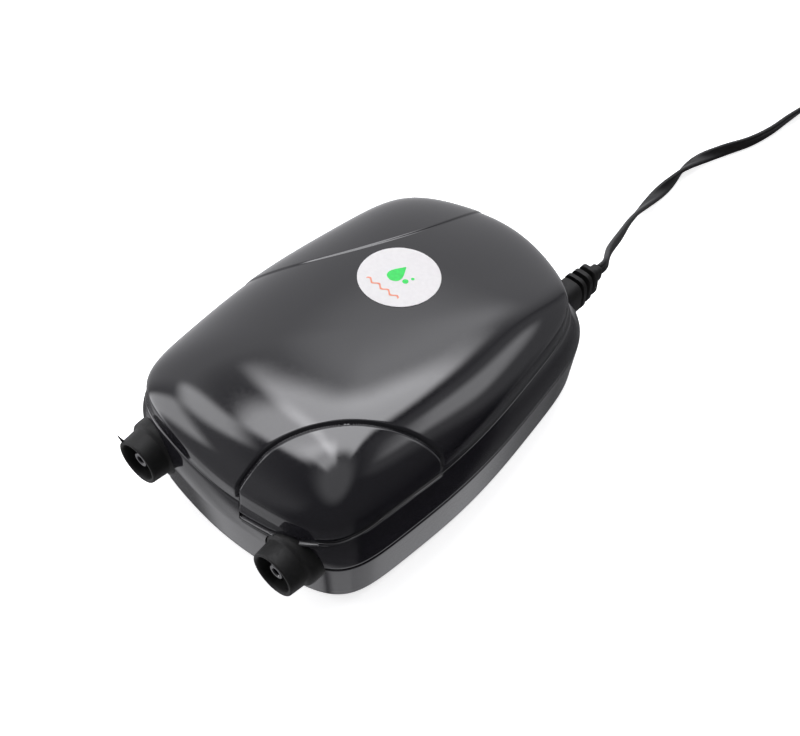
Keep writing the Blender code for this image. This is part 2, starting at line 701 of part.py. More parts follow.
def make_arm(side, sign):
    """A steel arm with a magnet, on an empty at its pin, and the rubber block that holds the pin."""
    x = sign * ARM_X
    thin = ARM_HALF_THICKNESS
    low, high = (x - thin, PIVOT_Y, AXIS_Z - 4), (x + thin, ARM_END_Y - 1, AXIS_Z + 4)
    arm = box(f"swing_arm_{side}", low, high, "steel")
    end = box(f"arm_end_{side}", (x - 5, ARM_END_Y - 2, AXIS_Z - 6), (x + 5, ARM_END_Y, AXIS_Z + 6))
    ends = ((x, PIVOT_Y, AXIS_Z - 7), (x, PIVOT_Y, AXIS_Z + 7))
    join(arm, end, rod(f"arm_pin_{side}", *ends, 2.5, steps=20))
    ends = ((x - 5, DIAPHRAGM_Y, AXIS_Z), (x + 5, DIAPHRAGM_Y, AXIS_Z))
    cut(arm, rod(f"arm_hole_{side}", *ends, 1.8, steps=16))
    low, high = (x - 5, MAGNET_Y[0], AXIS_Z - 6), (x + 5, MAGNET_Y[1], AXIS_Z + 6)
    magnet = box(f"magnet_{side}", low, high, "magnet")
    low, high = (x - 5.5, -50, CHASSIS_Z[1] + GAP), (x + 5.5, -38.5, AXIS_Z + 10)
    block = box(f"pivot_block_{side}", low, high, "rubber")
    ends = ((x, PIVOT_Y, AXIS_Z - 7.4), (x, PIVOT_Y, AXIS_Z + 7.4))
    cut(block, rod(f"pivot_bore_{side}", *ends, 2.9, steps=20))
    cut(block, box(f"pivot_slot_{side}", (x - 1.9, PIVOT_Y, AXIS_Z - 4.4), (x + 1.9, -30, AXIS_Z + 4.4)))
    inside = ARM_X - ARM_HALF_THICKNESS - GAP
    place, axis = (0, DIAPHRAGM_Y, AXIS_Z), (sign, 0, 0)
    pan = [(1.2, inside - 2.0), (2.8, inside - 1.4), (2.8, inside), (1.5, inside), (1.5, 17.4), (1.0, 17.8)]
    screw = turned(f"diaphragm_screw_{side}", pan, place, axis, "steel", 12, solid=True)
    nut = [(1.8, 13.5), (3.0, 13.5), (3.0, 14.4), (2.7, 14.4), (2.7, 16.4), (1.8, 16.4)]
    nut = turned(f"diaphragm_nut_{side}", nut, place, axis, "brass", steps=12)
    carry(add_empty(f"arm_axis_{side}", (x, PIVOT_Y, AXIS_Z)), arm, magnet, screw, nut)


def make_diaphragm(side, sign):
    profile = [(1.8, 11.6), (4.2, 11.6), (4.6, 12.4), (6.6, 16.6), (7.6, 17.6), (9.2, 17.8)]
    profile += [(9.2, 19.2), (7.0, 19.2), (6.4, 18.4), (3.5, 13.2), (1.8, 13.2)]
    turned(f"diaphragm_{side}", profile, (0, DIAPHRAGM_Y, AXIS_Z), (sign, 0, 0), "rubber", steps=20)


def make_valve_box(side, sign):
    """A box with a round chamber on one side of a wall and two valve pockets on the other."""
    valve_box = side_box(f"valve_box_{side}", sign, BOX_X, BOX_Y, BOX_Z, "white_plastic")
    face = (sign * (BOX_X[0] - 1), DIAPHRAGM_Y, AXIS_Z)
    floor = (sign * (BOX_X[0] + CHAMBER_DEPTH), DIAPHRAGM_Y, AXIS_Z)
    cut(valve_box, rod(f"chamber_{side}", face, floor, CHAMBER_RADIUS))
    pocket_x = (VALVE_WALL_X[1], BOX_X[1] + 1)
    pocket_z = (AXIS_Z - POCKET_HALF_HEIGHT, AXIS_Z + POCKET_HALF_HEIGHT)
    for valve, pocket_y in POCKETS_Y.items():
        cut(valve_box, side_box(f"{valve}_pocket_{side}", sign, pocket_x, pocket_y, pocket_z))
        y = VALVE_HOLES_Y[valve]
        ends = ((sign * 22, y, AXIS_Z), (sign * 27, y, AXIS_Z))
        cut(valve_box, rod(f"{valve}_hole_{side}", *ends, VALVE_HOLE_RADIUS, steps=16))
    x = sign * OUTLET_X
    duct_hole = rod(f"duct_hole_{side}", (x, -35, AXIS_Z), (x, -27, AXIS_Z), NIPPLE_RADIUS + GAP)
    cut(valve_box, duct_hole)
    cut(valve_box, rod(f"intake_hole_{side}", (x, -5, AXIS_Z), (x, 0, AXIS_Z), 2.5, steps=16))
    make_valve_lid(side, sign, valve_box)


def make_valve_lid(side, sign, valve_box):
    """The lid and its two screws, with their holes in the lid and the box."""
    lid_x = (BOX_X[1] + GAP, BOX_X[1] + 1.8)
    lid = side_box(f"valve_lid_{side}", sign, lid_x, BOX_Y, BOX_Z, "white_plastic")
    seat = lid_x[1] + GAP
    profile = [(0.8, 25.0), (0.8, seat), (1.5, seat), (1.5, seat + 0.8), (0.8, seat + 1.2)]
    for place, z in LID_SCREWS_Z.items():
        ends = ((sign * 24, DIAPHRAGM_Y, z), (sign * 36, DIAPHRAGM_Y, z))
        hole = rod(f"lid_hole_{place}_{side}", *ends, 1.1, steps=12)
        cut(valve_box, hole)
        cut(lid, hole)
        centre = (0, DIAPHRAGM_Y, z)
        turned(f"lid_screw_{place}_{side}", profile, centre, (sign, 0, 0), "steel", 12, solid=True)


def make_flaps(side, sign):
    """Rubber flaps, each on an empty at its hinge. The outlet's opens away from the chamber, and the
    inlet's opens into it."""
    outlet_x = (VALVE_WALL_X[1] + GAP, VALVE_WALL_X[1] + GAP + FLAP_THICKNESS)
    inlet_x = (VALVE_WALL_X[0] - GAP - FLAP_THICKNESS, VALVE_WALL_X[0] - GAP)
    for valve, flap_x, flap_y, hinge_y, half in (
        ("outlet", outlet_x, (-24.3, -18.2), -24.3, 3.0),
        ("inlet", inlet_x, (-13.9, -9.3), -9.3, 2.4),
    ):
        flap_z = (AXIS_Z - half, AXIS_Z + half)
        flap = side_box(f"{valve}_flap_{side}", sign, flap_x, flap_y, flap_z, "rubber")
        middle = sign * sum(flap_x) / 2
        carry(add_empty(f"{valve}_flap_axis_{side}", (middle, hinge_y, AXIS_Z)), flap)


def make_duct(side, sign):
    tip = SLEEVE_TIP_Y + NIPPLE_RECESS
    length = BOX_Y[0] + 1.6 - tip
    profile = [(NIPPLE_BORE, 0.3), (NIPPLE_BORE + 0.3, 0.0), (NIPPLE_RADIUS - 0.4, 0.0)]
    profile += [(NIPPLE_RADIUS, 0.5), (NIPPLE_RADIUS, length), (NIPPLE_BORE, length)]
    place = (sign * OUTLET_X, tip, OUTLET_Z)
    turned(f"outlet_duct_{side}", profile, place, (0, 1, 0), "casing", steps=16)


# Mains lead


def relief_ring(y, half_x, half_z):
    corner = min(1.6, half_x * 0.6)
    return [(x, y - RELIEF_FRONT_Y, z) for x, z in rounded_rectangle(half_x, half_z, corner)]


def make_strain_relief():
    """A ribbed rubber boot, with a flange inside the casing and three ribs outside it."""
    sections = [(RELIEF_FRONT_Y, 4.0, 4.0), (RELIEF_FRONT_Y + 1, 4.2, 5.6), (66.8, 4.2, 6.2)]
    for number, y in enumerate(RELIEF_RIBS_Y):
        half_x, half_z = 4.2 - 0.35 * number, 6.4 - 0.45 * number
        core_x, core_z = 2.4 - 0.15 * number, 4.0 - 0.5 * number
        sections.append((y - 1.3, core_x + 0.2, core_z + 0.2))
        sections.append((y - 0.8, half_x, half_z))
        sections.append((y + 0.5, half_x, half_z))
        sections.append((y + 0.9, core_x, core_z))
    sections.append((RELIEF_BACK_Y, 1.9, 2.7))
    rings = [relief_ring(*section) for section in sections]
    loft("strain_relief", rings, (LEAD_X, RELIEF_FRONT_Y, LEAD_Z), "rubber")


def make_lead():
    tube("power_cord", smooth_route(LEAD_ROUTE, 6.0), LEAD_RADIUS, "cord")
    tube("cord_tail", smooth_route(TAIL_ROUTE, 6.0), LEAD_RADIUS, "cord")
    inner, outer = COIL_RADIUS - COIL_HALF_BUNDLE, COIL_RADIUS + COIL_HALF_BUNDLE
    low, high = COIL_Z
    corner = 1.2
    profile = [(inner, low + corner), (inner + corner, low)]
    profile += [(outer - corner, low), (outer, low + corner)]
    profile += [(outer, high - corner), (outer - corner, high)]
    profile += [(inner + corner, high), (inner, high - corner)]
    turned("cord_coil", profile, (*COIL_CENTRE, 0), (0, 0, 1), "cord", steps=32)


def make_tie():
    """A band round the coil's bundle, on its far side."""
    x, y = COIL_CENTRE[0], COIL_CENTRE[1] + COIL_RADIUS
    inside = COIL_HALF_BUNDLE + GAP
    outside = inside + TIE_THICKNESS
    top = COIL_Z[1] + GAP
    low, high = (x - 1.5, y - outside, 0.05), (x + 1.5, y + outside, top + TIE_THICKNESS)
    tie = box("cord_tie", low, high, "rubber")
    cut(tie, box("tie_inside", (x - 3, y - inside, COIL_Z[0] - GAP), (x + 3, y + inside, top)))


def make_plug():
    """A flat two-pin plug on an empty at the end of the tail, turned along the tail's last stretch."""
    plug = add_empty("plug_place", TAIL_ROUTE[-1], PLUG_TURN)
    rings = []
    for along, half_wide, half_thick in PLUG_SECTIONS:
        corner = min(half_wide, half_thick) * 0.6
        points = rounded_rectangle(half_wide, half_thick, corner)
        rings.append([(along, wide, thick) for wide, thick in points])
    body = loft("plug_body", rings, material="cord")
    body.parent = plug
    end = PLUG_SECTIONS[-1][0]
    half_x, half_z = PLUG_PIN_SIZE[0] / 2, PLUG_PIN_SIZE[1] / 2
    for side, sign in SIDES:
        y = sign * PLUG_PIN_SPACING / 2
        low, high = (end - 8.5, y - half_x, -half_z), (end + PLUG_PIN_LENGTH, y + half_x, half_z)
        pin = box(f"plug_pin_{side}", low, high, "brass")
        slot_low = [value - GAP for value in low]
        slot_high = (high[0], high[1] + GAP, high[2] + GAP)
        slot = box(f"plug_slot_{side}", slot_low, slot_high)
        pin.parent = plug
        slot.parent = plug
        cut(body, slot)


def main():
    make_casing()
    make_sleeves()
    make_label()
    make_feet_and_screws()
    make_chassis()
    make_core()
    make_coil()
    for side, sign in SIDES:
        make_arm(side, sign)
        make_diaphragm(side, sign)
        make_valve_box(side, sign)
        make_flaps(side, sign)
        make_duct(side, sign)
    make_strain_relief()
    make_lead()
    make_tie()
    make_plug()


main()
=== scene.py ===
import json
import math

import bmesh
import bpy
import numpy as np
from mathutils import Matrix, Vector


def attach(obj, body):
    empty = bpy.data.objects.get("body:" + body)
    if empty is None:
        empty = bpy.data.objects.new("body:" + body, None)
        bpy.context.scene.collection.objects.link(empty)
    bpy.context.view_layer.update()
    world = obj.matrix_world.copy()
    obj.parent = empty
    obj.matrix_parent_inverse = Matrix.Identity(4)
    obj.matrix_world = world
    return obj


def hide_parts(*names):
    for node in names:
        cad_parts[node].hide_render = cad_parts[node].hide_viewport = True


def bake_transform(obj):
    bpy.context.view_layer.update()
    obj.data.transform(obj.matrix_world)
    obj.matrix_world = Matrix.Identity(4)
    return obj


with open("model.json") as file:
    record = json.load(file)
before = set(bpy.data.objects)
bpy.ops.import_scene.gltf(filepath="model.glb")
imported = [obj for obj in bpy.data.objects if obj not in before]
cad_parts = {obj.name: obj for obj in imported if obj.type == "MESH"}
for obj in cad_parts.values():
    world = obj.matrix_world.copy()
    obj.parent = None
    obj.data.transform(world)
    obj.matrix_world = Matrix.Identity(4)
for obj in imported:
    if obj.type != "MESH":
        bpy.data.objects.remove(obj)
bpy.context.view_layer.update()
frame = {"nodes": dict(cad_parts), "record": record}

# The looks of the aquarium air pump. Lengths are in millimetres and go through MM to metres.
# The pump stands on Z = 0, its air outlets face -Y, and its lead leaves at +Y.

MM = 0.001
SIDES = (("left", -1), ("right", 1))

# The casing's outline in plan and its heights, by the same rules as the CAD. Sizes below the
# shoulder are (half width, front, back).
SHOULDER_HALF_WIDTH = 41.17
SHOULDER_HALF_LENGTH = 63.96
PARTING_SIZES = (44.25, 65.6, 69.95)
BASE_SIZES = (42.65, 63.6, 68.35)
OUTLINE_SHIFT = -3.65
POWERS_FRONT = (3.39, 8.0)
POWERS_BACK = (2.97, 7.7)
OUTLINE_TAPER = 0.10
SWELL_COS = ((2, 0.031), (4, 0.033))
SWELL_SIN = ((1, 0.051), (3, -0.006))
BASE_Z = 2.0
BASE_EDGE = 2.2
BASE_ROUND = 2.4
PARTING_Z = 20.1
SHOULDER_Z = 30.8
SHOULDER_STEP = 0.8
DOME_WALL_RISE = 8.0
DOME_WALL_POWER = 0.08
DOME_CROWN_RISE = 6.5
DOME_FRONT_RISE = 2.7
DOME_WALL_SHARE = 0.97  # outside this share the dome is a steep wall
WALL = 2.2
BAND_BULGE = 0.45

# Air outlets
OUTLET_X = 28.1
OUTLET_Z = PARTING_Z
SLEEVE_TIP_Y = -70.4
SLEEVE_RADIUS = 7.5
SLEEVE_REACH = 7.4
COLLAR_RADIUS = 9.2
COLLAR_DEPTH = 9.0
NECK_RADIUS = 6.2
CUP_RADIUS = 6.1
CUP_DEPTH = 7.2
NIPPLE_RADIUS = 2.7

# Mains lead. The routes repeat the CAD's.
LEAD_X = 23.6
LEAD_Z = 20.5
LEAD_WIDTH = 4.4
LEAD_THICKNESS = 1.7
LEAD_ROUTE = (
    (23.6, 81.0, 20.5),
    (23.3, 85.0, 20.0),
    (18.6, 93.8, 16.0),
    (14.2, 106.5, 10.6),
    (10.2, 118.5, 6.2),
    (8.2, 128.0, 3.4),
    (7.3, 138.0, 2.4),
    (7.0, 148.0, 2.3),
    (6.6, 156.4, 2.3),
    (7.8, 164.5, 2.3),
    (11.4, 174.5, 2.3),
    (15.6, 184.5, 2.3),
    (17.9, 194.5, 2.3),
    (18.9, 205.5, 2.3),
    (20.4, 215.0, 2.4),
    (24.6, 225.0, 3.0),
    (27.8, 234.0, 4.0),
    (29.0, 242.0, 4.8),
)
TAIL_ROUTE = (
    (96.6, 242.0, 4.8),
    (96.4, 233.0, 3.8),
    (95.2, 223.0, 2.8),
    (92.6, 213.5, 4.0),
    (88.8, 205.0, 4.8),
)
LEAD_SPACING = 1.5
COIL_CENTRE = (62.8, 243.0)
COIL_POINTS_PER_TURN = 48
# Distance along the lead and how far the flat cord has rolled there, in degrees.
LEAD_ROLL = (
    (0, -82),
    (30, -84),
    (51, -119),
    (60, -163),
    (67, -209),
    (73, -253),
    (80, -299),
    (86, -348),
    (93, -396),
    (102, -422),
    (110, -441),
    (118, -451),
    (130, -457),
    (171, -540),
)
# Turns of the coil, and the radius and height of the cord's middle there.
COIL_COURSE = (
    (0.00, 33.8, 4.8),
    (0.30, 28.1, 2.3),
    (1.15, 27.9, 2.3),
    (1.40, 23.3, 2.3),
    (2.30, 23.2, 2.3),
    (2.50, 23.2, 4.3),
    (3.30, 23.3, 4.3),
    (3.55, 27.9, 4.3),
    (4.30, 28.0, 4.4),
    (4.55, 23.4, 6.4),
    (5.30, 23.3, 6.4),
    (5.55, 27.9, 6.4),
    (6.15, 28.2, 6.3),
    (6.50, 33.8, 4.8),
)


# Small helpers


def smoothstep(low, high, value):
    share = np.clip((value - low) / (high - low), 0.0, 1.0)
    return share * share * (3.0 - 2.0 * share)


def mesh_object(name, points, faces, smooth_angle=40.0):
    """A new object from points in millimetres."""
    mesh = bpy.data.meshes.new(name)
    mesh.from_pydata((np.asarray(points, float) * MM).tolist(), [], faces)
    mesh.validate()
    mesh.shade_smooth()
    mesh.set_sharp_from_angle(angle=math.radians(smooth_angle))
    piece = bpy.data.objects.new(name, mesh)
    bpy.context.scene.collection.objects.link(piece)
    return piece


def skin_faces(rows, columns, closed_rows=False):
    """Quads over a grid of rows x columns points, the columns running round."""
    faces = []
    for row in range(rows if closed_rows else rows - 1):
        low, high = row * columns, (row + 1) % rows * columns
        for column in range(columns):
            after = (column + 1) % columns
            faces.append((low + column, low + after, high + after, high + column))
    return faces


def closed_grid(name, grid, smooth_angle=40.0):
    """A closed body over a grid of rows x columns x 3, with a fan at each end."""
    rows, columns = grid.shape[:2]
    points = np.concatenate([grid.reshape(-1, 3), [grid[0].mean(axis=0)], [grid[-1].mean(axis=0)]])
    faces = skin_faces(rows, columns)
    first, last = rows * columns, rows * columns + 1
    base = (rows - 1) * columns
    for column in range(columns):
        after = (column + 1) % columns
        faces.append((first, after, column))
        faces.append((last, base + column, base + after))
    return mesh_object(name, points, faces, smooth_angle)


def outward(piece):
    """Turns the faces of a closed piece to point out."""
    bm = bmesh.new()
    bm.from_mesh(piece.data)
    bmesh.ops.recalc_face_normals(bm, faces=bm.faces[:])
    bm.to_mesh(piece.data)
    bm.free()
    return piece


def turned(name, profile, centre, axis, steps=96, smooth_angle=40.0):
    """A closed profile of (radius, distance along), turned about the axis through centre."""
    turn = np.array(Vector(axis).to_track_quat("Z", "Y").to_matrix())
    angles = np.linspace(0.0, math.tau, steps, endpoint=False)
    rings = []
    for radius, along in profile:
        x, y = radius * np.cos(angles), radius * np.sin(angles)
        rings.append(np.stack([x, y, np.full(steps, along)], axis=1))
    points = np.concatenate(rings) @ turn.T + np.array(centre, float)
    faces = skin_faces(len(profile), steps, True)
    return outward(mesh_object(name, points, faces, smooth_angle))


def rounded_corners(profile, radius, steps=4):
    """The closed profile with each corner replaced by a short curve."""
    points = [Vector(point) for point in profile]
    result = []
    for before, corner, after in zip(points[-1:] + points[:-1], points, points[1:] + points[:1]):
        back, ahead = before - corner, after - corner
        reach = min(radius, back.length * 0.45, ahead.length * 0.45)
        start, end = corner + back.normalized() * reach, corner + ahead.normalized() * reach
        for step in range(steps + 1):
            t = step / steps
            result.append(tuple((1 - t) ** 2 * start + 2 * t * (1 - t) * corner + t * t * end))
    return result


def cut(piece, *cutters):
    """Cuts closed cutters from a closed piece, for good."""
    for cutter in cutters:
        modifier = piece.modifiers.new("cut", "BOOLEAN")
        modifier.object = cutter
        modifier.operation = "DIFFERENCE"
        modifier.solver = "MANIFOLD"
    graph = bpy.context.evaluated_depsgraph_get()
    mesh = bpy.data.meshes.new_from_object(piece.evaluated_get(graph))
    piece.modifiers.clear()
    piece.data = mesh
    for cutter in cutters:
        bpy.data.objects.remove(cutter)
    mesh.set_sharp_from_angle(angle=math.radians(40))
    return piece


def rod(name, start, end, radius, steps=48):
    """A plain cylinder from start to end."""
    axis = Vector(end) - Vector(start)
    turn = np.array(axis.to_track_quat("Z", "Y").to_matrix())
    angles = np.linspace(0.0, math.tau, steps, endpoint=False)
    rings = []
    for along in (0.0, axis.length):
        rings.append([(radius * math.cos(a), radius * math.sin(a), along) for a in angles])
    return outward(closed_grid(name, np.array(rings) @ turn.T + np.array(start, float)))


def block(name, low, high):
    """A box between two corners."""
    bm = bmesh.new()
    bmesh.ops.create_cube(bm, size=1.0)
    for vert in bm.verts:
        vert.co = [(a + b) / 2 + (b - a) * c for a, b, c in zip(low, high, vert.co)]
    bmesh.ops.scale(bm, vec=(MM, MM, MM), verts=bm.verts[:])
    mesh = bpy.data.meshes.new(name)
    bm.to_mesh(mesh)
    bm.free()
    piece = bpy.data.objects.new(name, mesh)
    bpy.context.scene.collection.objects.link(piece)
    return piece


def smooth_route(points, spacing):
    """A Catmull-Rom curve through the points, with a point about every spacing."""
    route = [Vector(point) for point in points]
    route = [2 * route[0] - route[1]] + route + [2 * route[-1] - route[-2]]
    result = []
    for before, start, end, after in zip(route, route[1:], route[2:], route[3:]):
        count = max(1, round((end - start).length / spacing))
        for step in range(count):
            t = step / count
            bend = 2 * start + (end - before) * t
            bend += (2 * before - 5 * start + 4 * end - after) * t**2
            bend += (3 * start - before - 3 * end + after) * t**3
            result.append(0.5 * bend)
    return np.array(result + [route[-2]])


# Materials


def node_material(name, colour, roughness, metallic=0.0, specular=0.5):
    """A new material, with its node tree and its shader."""
    material = bpy.data.materials.new(name)
    material.use_nodes = True
    tree = material.node_tree
    shader = tree.nodes["Principled BSDF"]
    shader.inputs["Base Color"].default_value = (*colour, 1.0)
    shader.inputs["Roughness"].default_value = roughness
    shader.inputs["Metallic"].default_value = metallic
    shader.inputs["Specular IOR Level"].default_value = specular
    return material, tree, shader


def noise(tree, scale, detail=4.0, stretch=None):
    """A noise in object space, at scale per metre."""
    place = tree.nodes.new("ShaderNodeTexCoord")
    texture = tree.nodes.new("ShaderNodeTexNoise")
    texture.inputs["Scale"].default_value = scale
    texture.inputs["Detail"].default_value = detail
    source = place.outputs["Object"]
    if stretch:
        mapping = tree.nodes.new("ShaderNodeMapping")
        mapping.inputs["Scale"].default_value = stretch
        tree.links.new(source, mapping.inputs["Vector"])
        source = mapping.outputs["Vector"]
    tree.links.new(source, texture.inputs["Vector"])
    return texture.outputs["Fac"]


def spread(tree, factor, low, high):
    """The factor of a noise, mapped to low..high."""
    node = tree.nodes.new("ShaderNodeMapRange")
    node.inputs["From Min"].default_value = 0.3
    node.inputs["From Max"].default_value = 0.7
    node.inputs["To Min"].default_value = low
    node.inputs["To Max"].default_value = high
    tree.links.new(factor, node.inputs["Value"])
    return node.outputs["Result"]


def vary_colour(tree, shader, factor, dark, light):
    """Mixes the base colour from dark to light by the factor."""
    mix = tree.nodes.new("ShaderNodeMix")
    mix.data_type = "RGBA"
    mix.inputs["A"].default_value = (*dark, 1.0)
    mix.inputs["B"].default_value = (*light, 1.0)
    tree.links.new(factor, mix.inputs["Factor"])
    tree.links.new(mix.outputs["Result"], shader.inputs["Base Color"])


def bump(tree, shader, factor, height_mm, strength=1.0):
    """Raises the surface by the factor."""
    node = tree.nodes.new("ShaderNodeBump")
    node.inputs["Distance"].default_value = height_mm * MM
    node.inputs["Strength"].default_value = strength
    tree.links.new(factor, node.inputs["Height"])
    tree.links.new(node.outputs["Normal"], shader.inputs["Normal"])


def grained(
    name, dark, light, roughness, grain, height_mm, metallic=0.0, stretch=None, specular=0.5
):
    """A surface whose colour, roughness (low, high) and height follow one grain."""
    material, tree, shader = node_material(name, light, roughness[0], metallic, specular)
    factor = noise(tree, grain, stretch=stretch)
    vary_colour(tree, shader, spread(tree, factor, 0.0, 1.0), dark, light)
    tree.links.new(spread(tree, factor, *roughness), shader.inputs["Roughness"])
    bump(tree, shader, factor, height_mm)
    return material


def glossy_abs():
    """Glossy charcoal ABS with faint flow marks, a fine moulding ripple and dust."""
    colour = (0.009, 0.0085, 0.0105)
    dark, light = (0.0078, 0.0075, 0.0095), (0.0098, 0.0094, 0.0115)
    material, tree, shader = node_material("glossy_charcoal_abs", colour, 0.07)
    flow = noise(tree, 35.0, 3.0)
    vary_colour(tree, shader, spread(tree, flow, 0.0, 1.0), dark, light)
    dust = noise(tree, 900.0, 6.0)
    tree.links.new(spread(tree, dust, 0.055, 0.095), shader.inputs["Roughness"])
    shader.inputs["IOR"].default_value = 1.52
    ripple = noise(tree, 120.0, 2.0)
    bump(tree, shader, ripple, 0.012, 0.5)
    return material


def grey(level):
    return (level, level, level)


# One material for each of the record's slots, and two inks for the sticker.
MATERIALS = {
    "casing": glossy_abs(),
    "rubber": grained(
        "black_rubber", grey(0.005), grey(0.009), (0.5, 0.65), 1400.0, 0.02, specular=0.3
    ),
    "cord": grained(
        "black_pvc",
        (0.006, 0.006, 0.007),
        (0.010, 0.010, 0.011),
        (0.38, 0.5),
        900.0,
        0.015,
        specular=0.3,
    ),
    "label": grained(
        "white_vinyl", (0.68, 0.665, 0.665), (0.72, 0.705, 0.705), (0.34, 0.44), 700.0, 0.004
    ),
    "white_plastic": grained(
        "natural_nylon", (0.72, 0.70, 0.64), (0.80, 0.79, 0.74), (0.38, 0.5), 300.0, 0.01
    ),
    "steel": grained(
        "zinc_plate", grey(0.50), (0.66, 0.66, 0.67), (0.25, 0.42), 1500.0, 0.005, 1.0
    ),
    "lamination": grained(
        "steel_sheets",
        (0.16, 0.16, 0.17),
        (0.42, 0.42, 0.44),
        (0.4, 0.6),
        60.0,
        0.05,
        metallic=1.0,
        stretch=(0.2, 0.2, 30.0),
    ),
    "copper": grained(
        "enamelled_wire",
        (0.40, 0.11, 0.03),
        (0.78, 0.30, 0.10),
        (0.22, 0.38),
        60.0,
        0.12,
        metallic=1.0,
        stretch=(0.15, 40.0, 0.15),
    ),
    "magnet": grained(
        "ferrite", (0.035, 0.035, 0.037), (0.07, 0.07, 0.073), (0.35, 0.5), 1200.0, 0.01
    ),
    "brass": grained(
        "turned_brass", (0.55, 0.38, 0.13), (0.72, 0.53, 0.22), (0.2, 0.34), 900.0, 0.006, 1.0
    ),
    "green_ink": grained(
        "green_ink", (0.0, 0.58, 0.065), (0.005, 0.70, 0.09), (0.3, 0.4), 900.0, 0.002
    ),
    "orange_ink": grained(
        "orange_ink", (0.72, 0.22, 0.12), (0.82, 0.28, 0.16), (0.3, 0.4), 900.0, 0.002
    ),
    "felt": grained(
        "needled_felt", (0.50, 0.50, 0.46), (0.78, 0.78, 0.73), (0.9, 1.0), 2500.0, 0.2
    ),
}


def finish_piece(piece, slot, *replaced):
    """Puts a piece on the housing in its slot's material, in place of the CAD nodes named."""
    piece.data.materials.clear()
    piece.data.materials.append(MATERIALS[slot])
    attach(piece, "housing")
    if replaced:
        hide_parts(*replaced)
    return piece


def finish_cad_nodes():
    """Every CAD node that stays gets the material of its slot."""
    slots = {part["node"]: part["material_slot"] for part in frame["record"]["subparts"]}
    for name, slot in slots.items():
        node = frame["nodes"][name]
        node.data.materials.clear()
        node.data.materials.append(MATERIALS[slot])


# Casing


def outline(angle, half_width, front, back):
    """Points of the casing's outline in plan, from arrays."""
    side, along = np.cos(angle), np.sin(angle)
    ahead = along < 0
    power_x = np.where(ahead, POWERS_FRONT[0], POWERS_BACK[0])
    power_y = np.where(ahead, POWERS_FRONT[1], POWERS_BACK[1])
    reach = np.ones_like(angle)
    for _ in range(30):
        term_x = (np.abs(side) * reach) ** power_x
        term_y = (np.abs(along) * reach) ** power_y
        reach = reach - (term_x + term_y - 1.0) * reach / (power_x * term_x + power_y * term_y)
    swell = 1.0 + sum(size * np.cos(k * angle) for k, size in SWELL_COS)
    swell = swell + sum(size * np.sin(k * angle) for k, size in SWELL_SIN)
    length = np.where(ahead, front, back)
    x = half_width * swell * reach * side * (1.0 - OUTLINE_TAPER * reach * along)
    y = length * swell * reach * along + OUTLINE_SHIFT
    return x, y


def dome_height(share):
    """Height of the level dome at a share of its outline: a steep wall and a crown."""
    wall = DOME_WALL_RISE * (1.0 - share**2) ** DOME_WALL_POWER
    return SHOULDER_Z + wall + DOME_CROWN_RISE * (1.0 - share**4)


def dome_tilt(y, share):
    """How much higher the dome stands towards the front, fading to nothing at its edge."""
    return -DOME_FRONT_RISE * (y - OUTLINE_SHIFT) / SHOULDER_HALF_LENGTH * (1.0 - share**2)


# Gaps to the edge and the heights there, to look the wall's share up by height.
WALL_TOP_Z = dome_height(DOME_WALL_SHARE)
WALL_GAPS = np.concatenate([[0.0], np.geomspace(1e-12, 0.2, 400)])
WALL_HEIGHTS = dome_height(1.0 - WALL_GAPS)


def wall_share(z):
    """The dome's share at a height on its steep wall."""
    return 1.0 - np.interp(z, WALL_HEIGHTS, WALL_GAPS)


def skin_sizes(z):
    """Half width, front and back of the casing below the shoulder."""
    shoulder = (SHOULDER_HALF_WIDTH, SHOULDER_HALF_LENGTH, SHOULDER_HALF_LENGTH)
    low = np.clip((BASE_Z + BASE_EDGE - z) / BASE_EDGE, 0.0, 1.0)
    corner = BASE_ROUND * (1.0 - np.sqrt(1.0 - low**2))
    up = np.clip((z - PARTING_Z) / (SHOULDER_Z - PARTING_Z), 0.0, 1.0)
    bulge = BAND_BULGE * np.sin(np.pi * up)
    heights = (BASE_Z + BASE_EDGE, PARTING_Z, SHOULDER_Z)
    sizes = []
    for base, parting, top in zip(BASE_SIZES, PARTING_SIZES, shoulder):
        size = np.interp(z, heights, (base, parting, top + SHOULDER_STEP))
        sizes.append(size - corner + bulge)
    return sizes


def dome_point(angle, share, offset=0.0):
    """A point of the dome, with offset widening its outline."""
    width = SHOULDER_HALF_WIDTH * share + offset
    length = SHOULDER_HALF_LENGTH * share + offset
    x, y = outline(angle, width, length, length)
    return np.stack([x, y, dome_height(share) + dome_tilt(y, share)], axis=-1)


def side_point(angle, z, offset=0.0):
    """A point of the casing's side at a height, from the dome's steep wall to the base."""
    share = wall_share(z)
    low_width, low_front, low_back = skin_sizes(z)
    above = z >= SHOULDER_Z
    width = np.where(above, SHOULDER_HALF_WIDTH * share, low_width - SHOULDER_STEP) + offset
    front = np.where(above, SHOULDER_HALF_LENGTH * share, low_front - SHOULDER_STEP) + offset
    back = np.where(above, SHOULDER_HALF_LENGTH * share, low_back - SHOULDER_STEP) + offset
    x, y = outline(angle, width, front, back)
    return np.stack([x, y, z + dome_tilt(y, share)], axis=-1)


def normals(function, angle, station, nudge_angle=2e-3, nudge_station=2e-3):
    """Outward unit normals of a surface function of angle and station."""
    across = function(angle + nudge_angle, station) - function(angle - nudge_angle, station)
    along = function(angle, station + nudge_station) - function(angle, station - nudge_station)
    normal = np.cross(across, along)
    normal /= np.maximum(np.linalg.norm(normal, axis=-1, keepdims=True), 1e-12)
    outside = np.sign((normal * function(angle, station)).sum(axis=-1, keepdims=True))
    return normal * np.where(outside == 0, 1.0, outside)


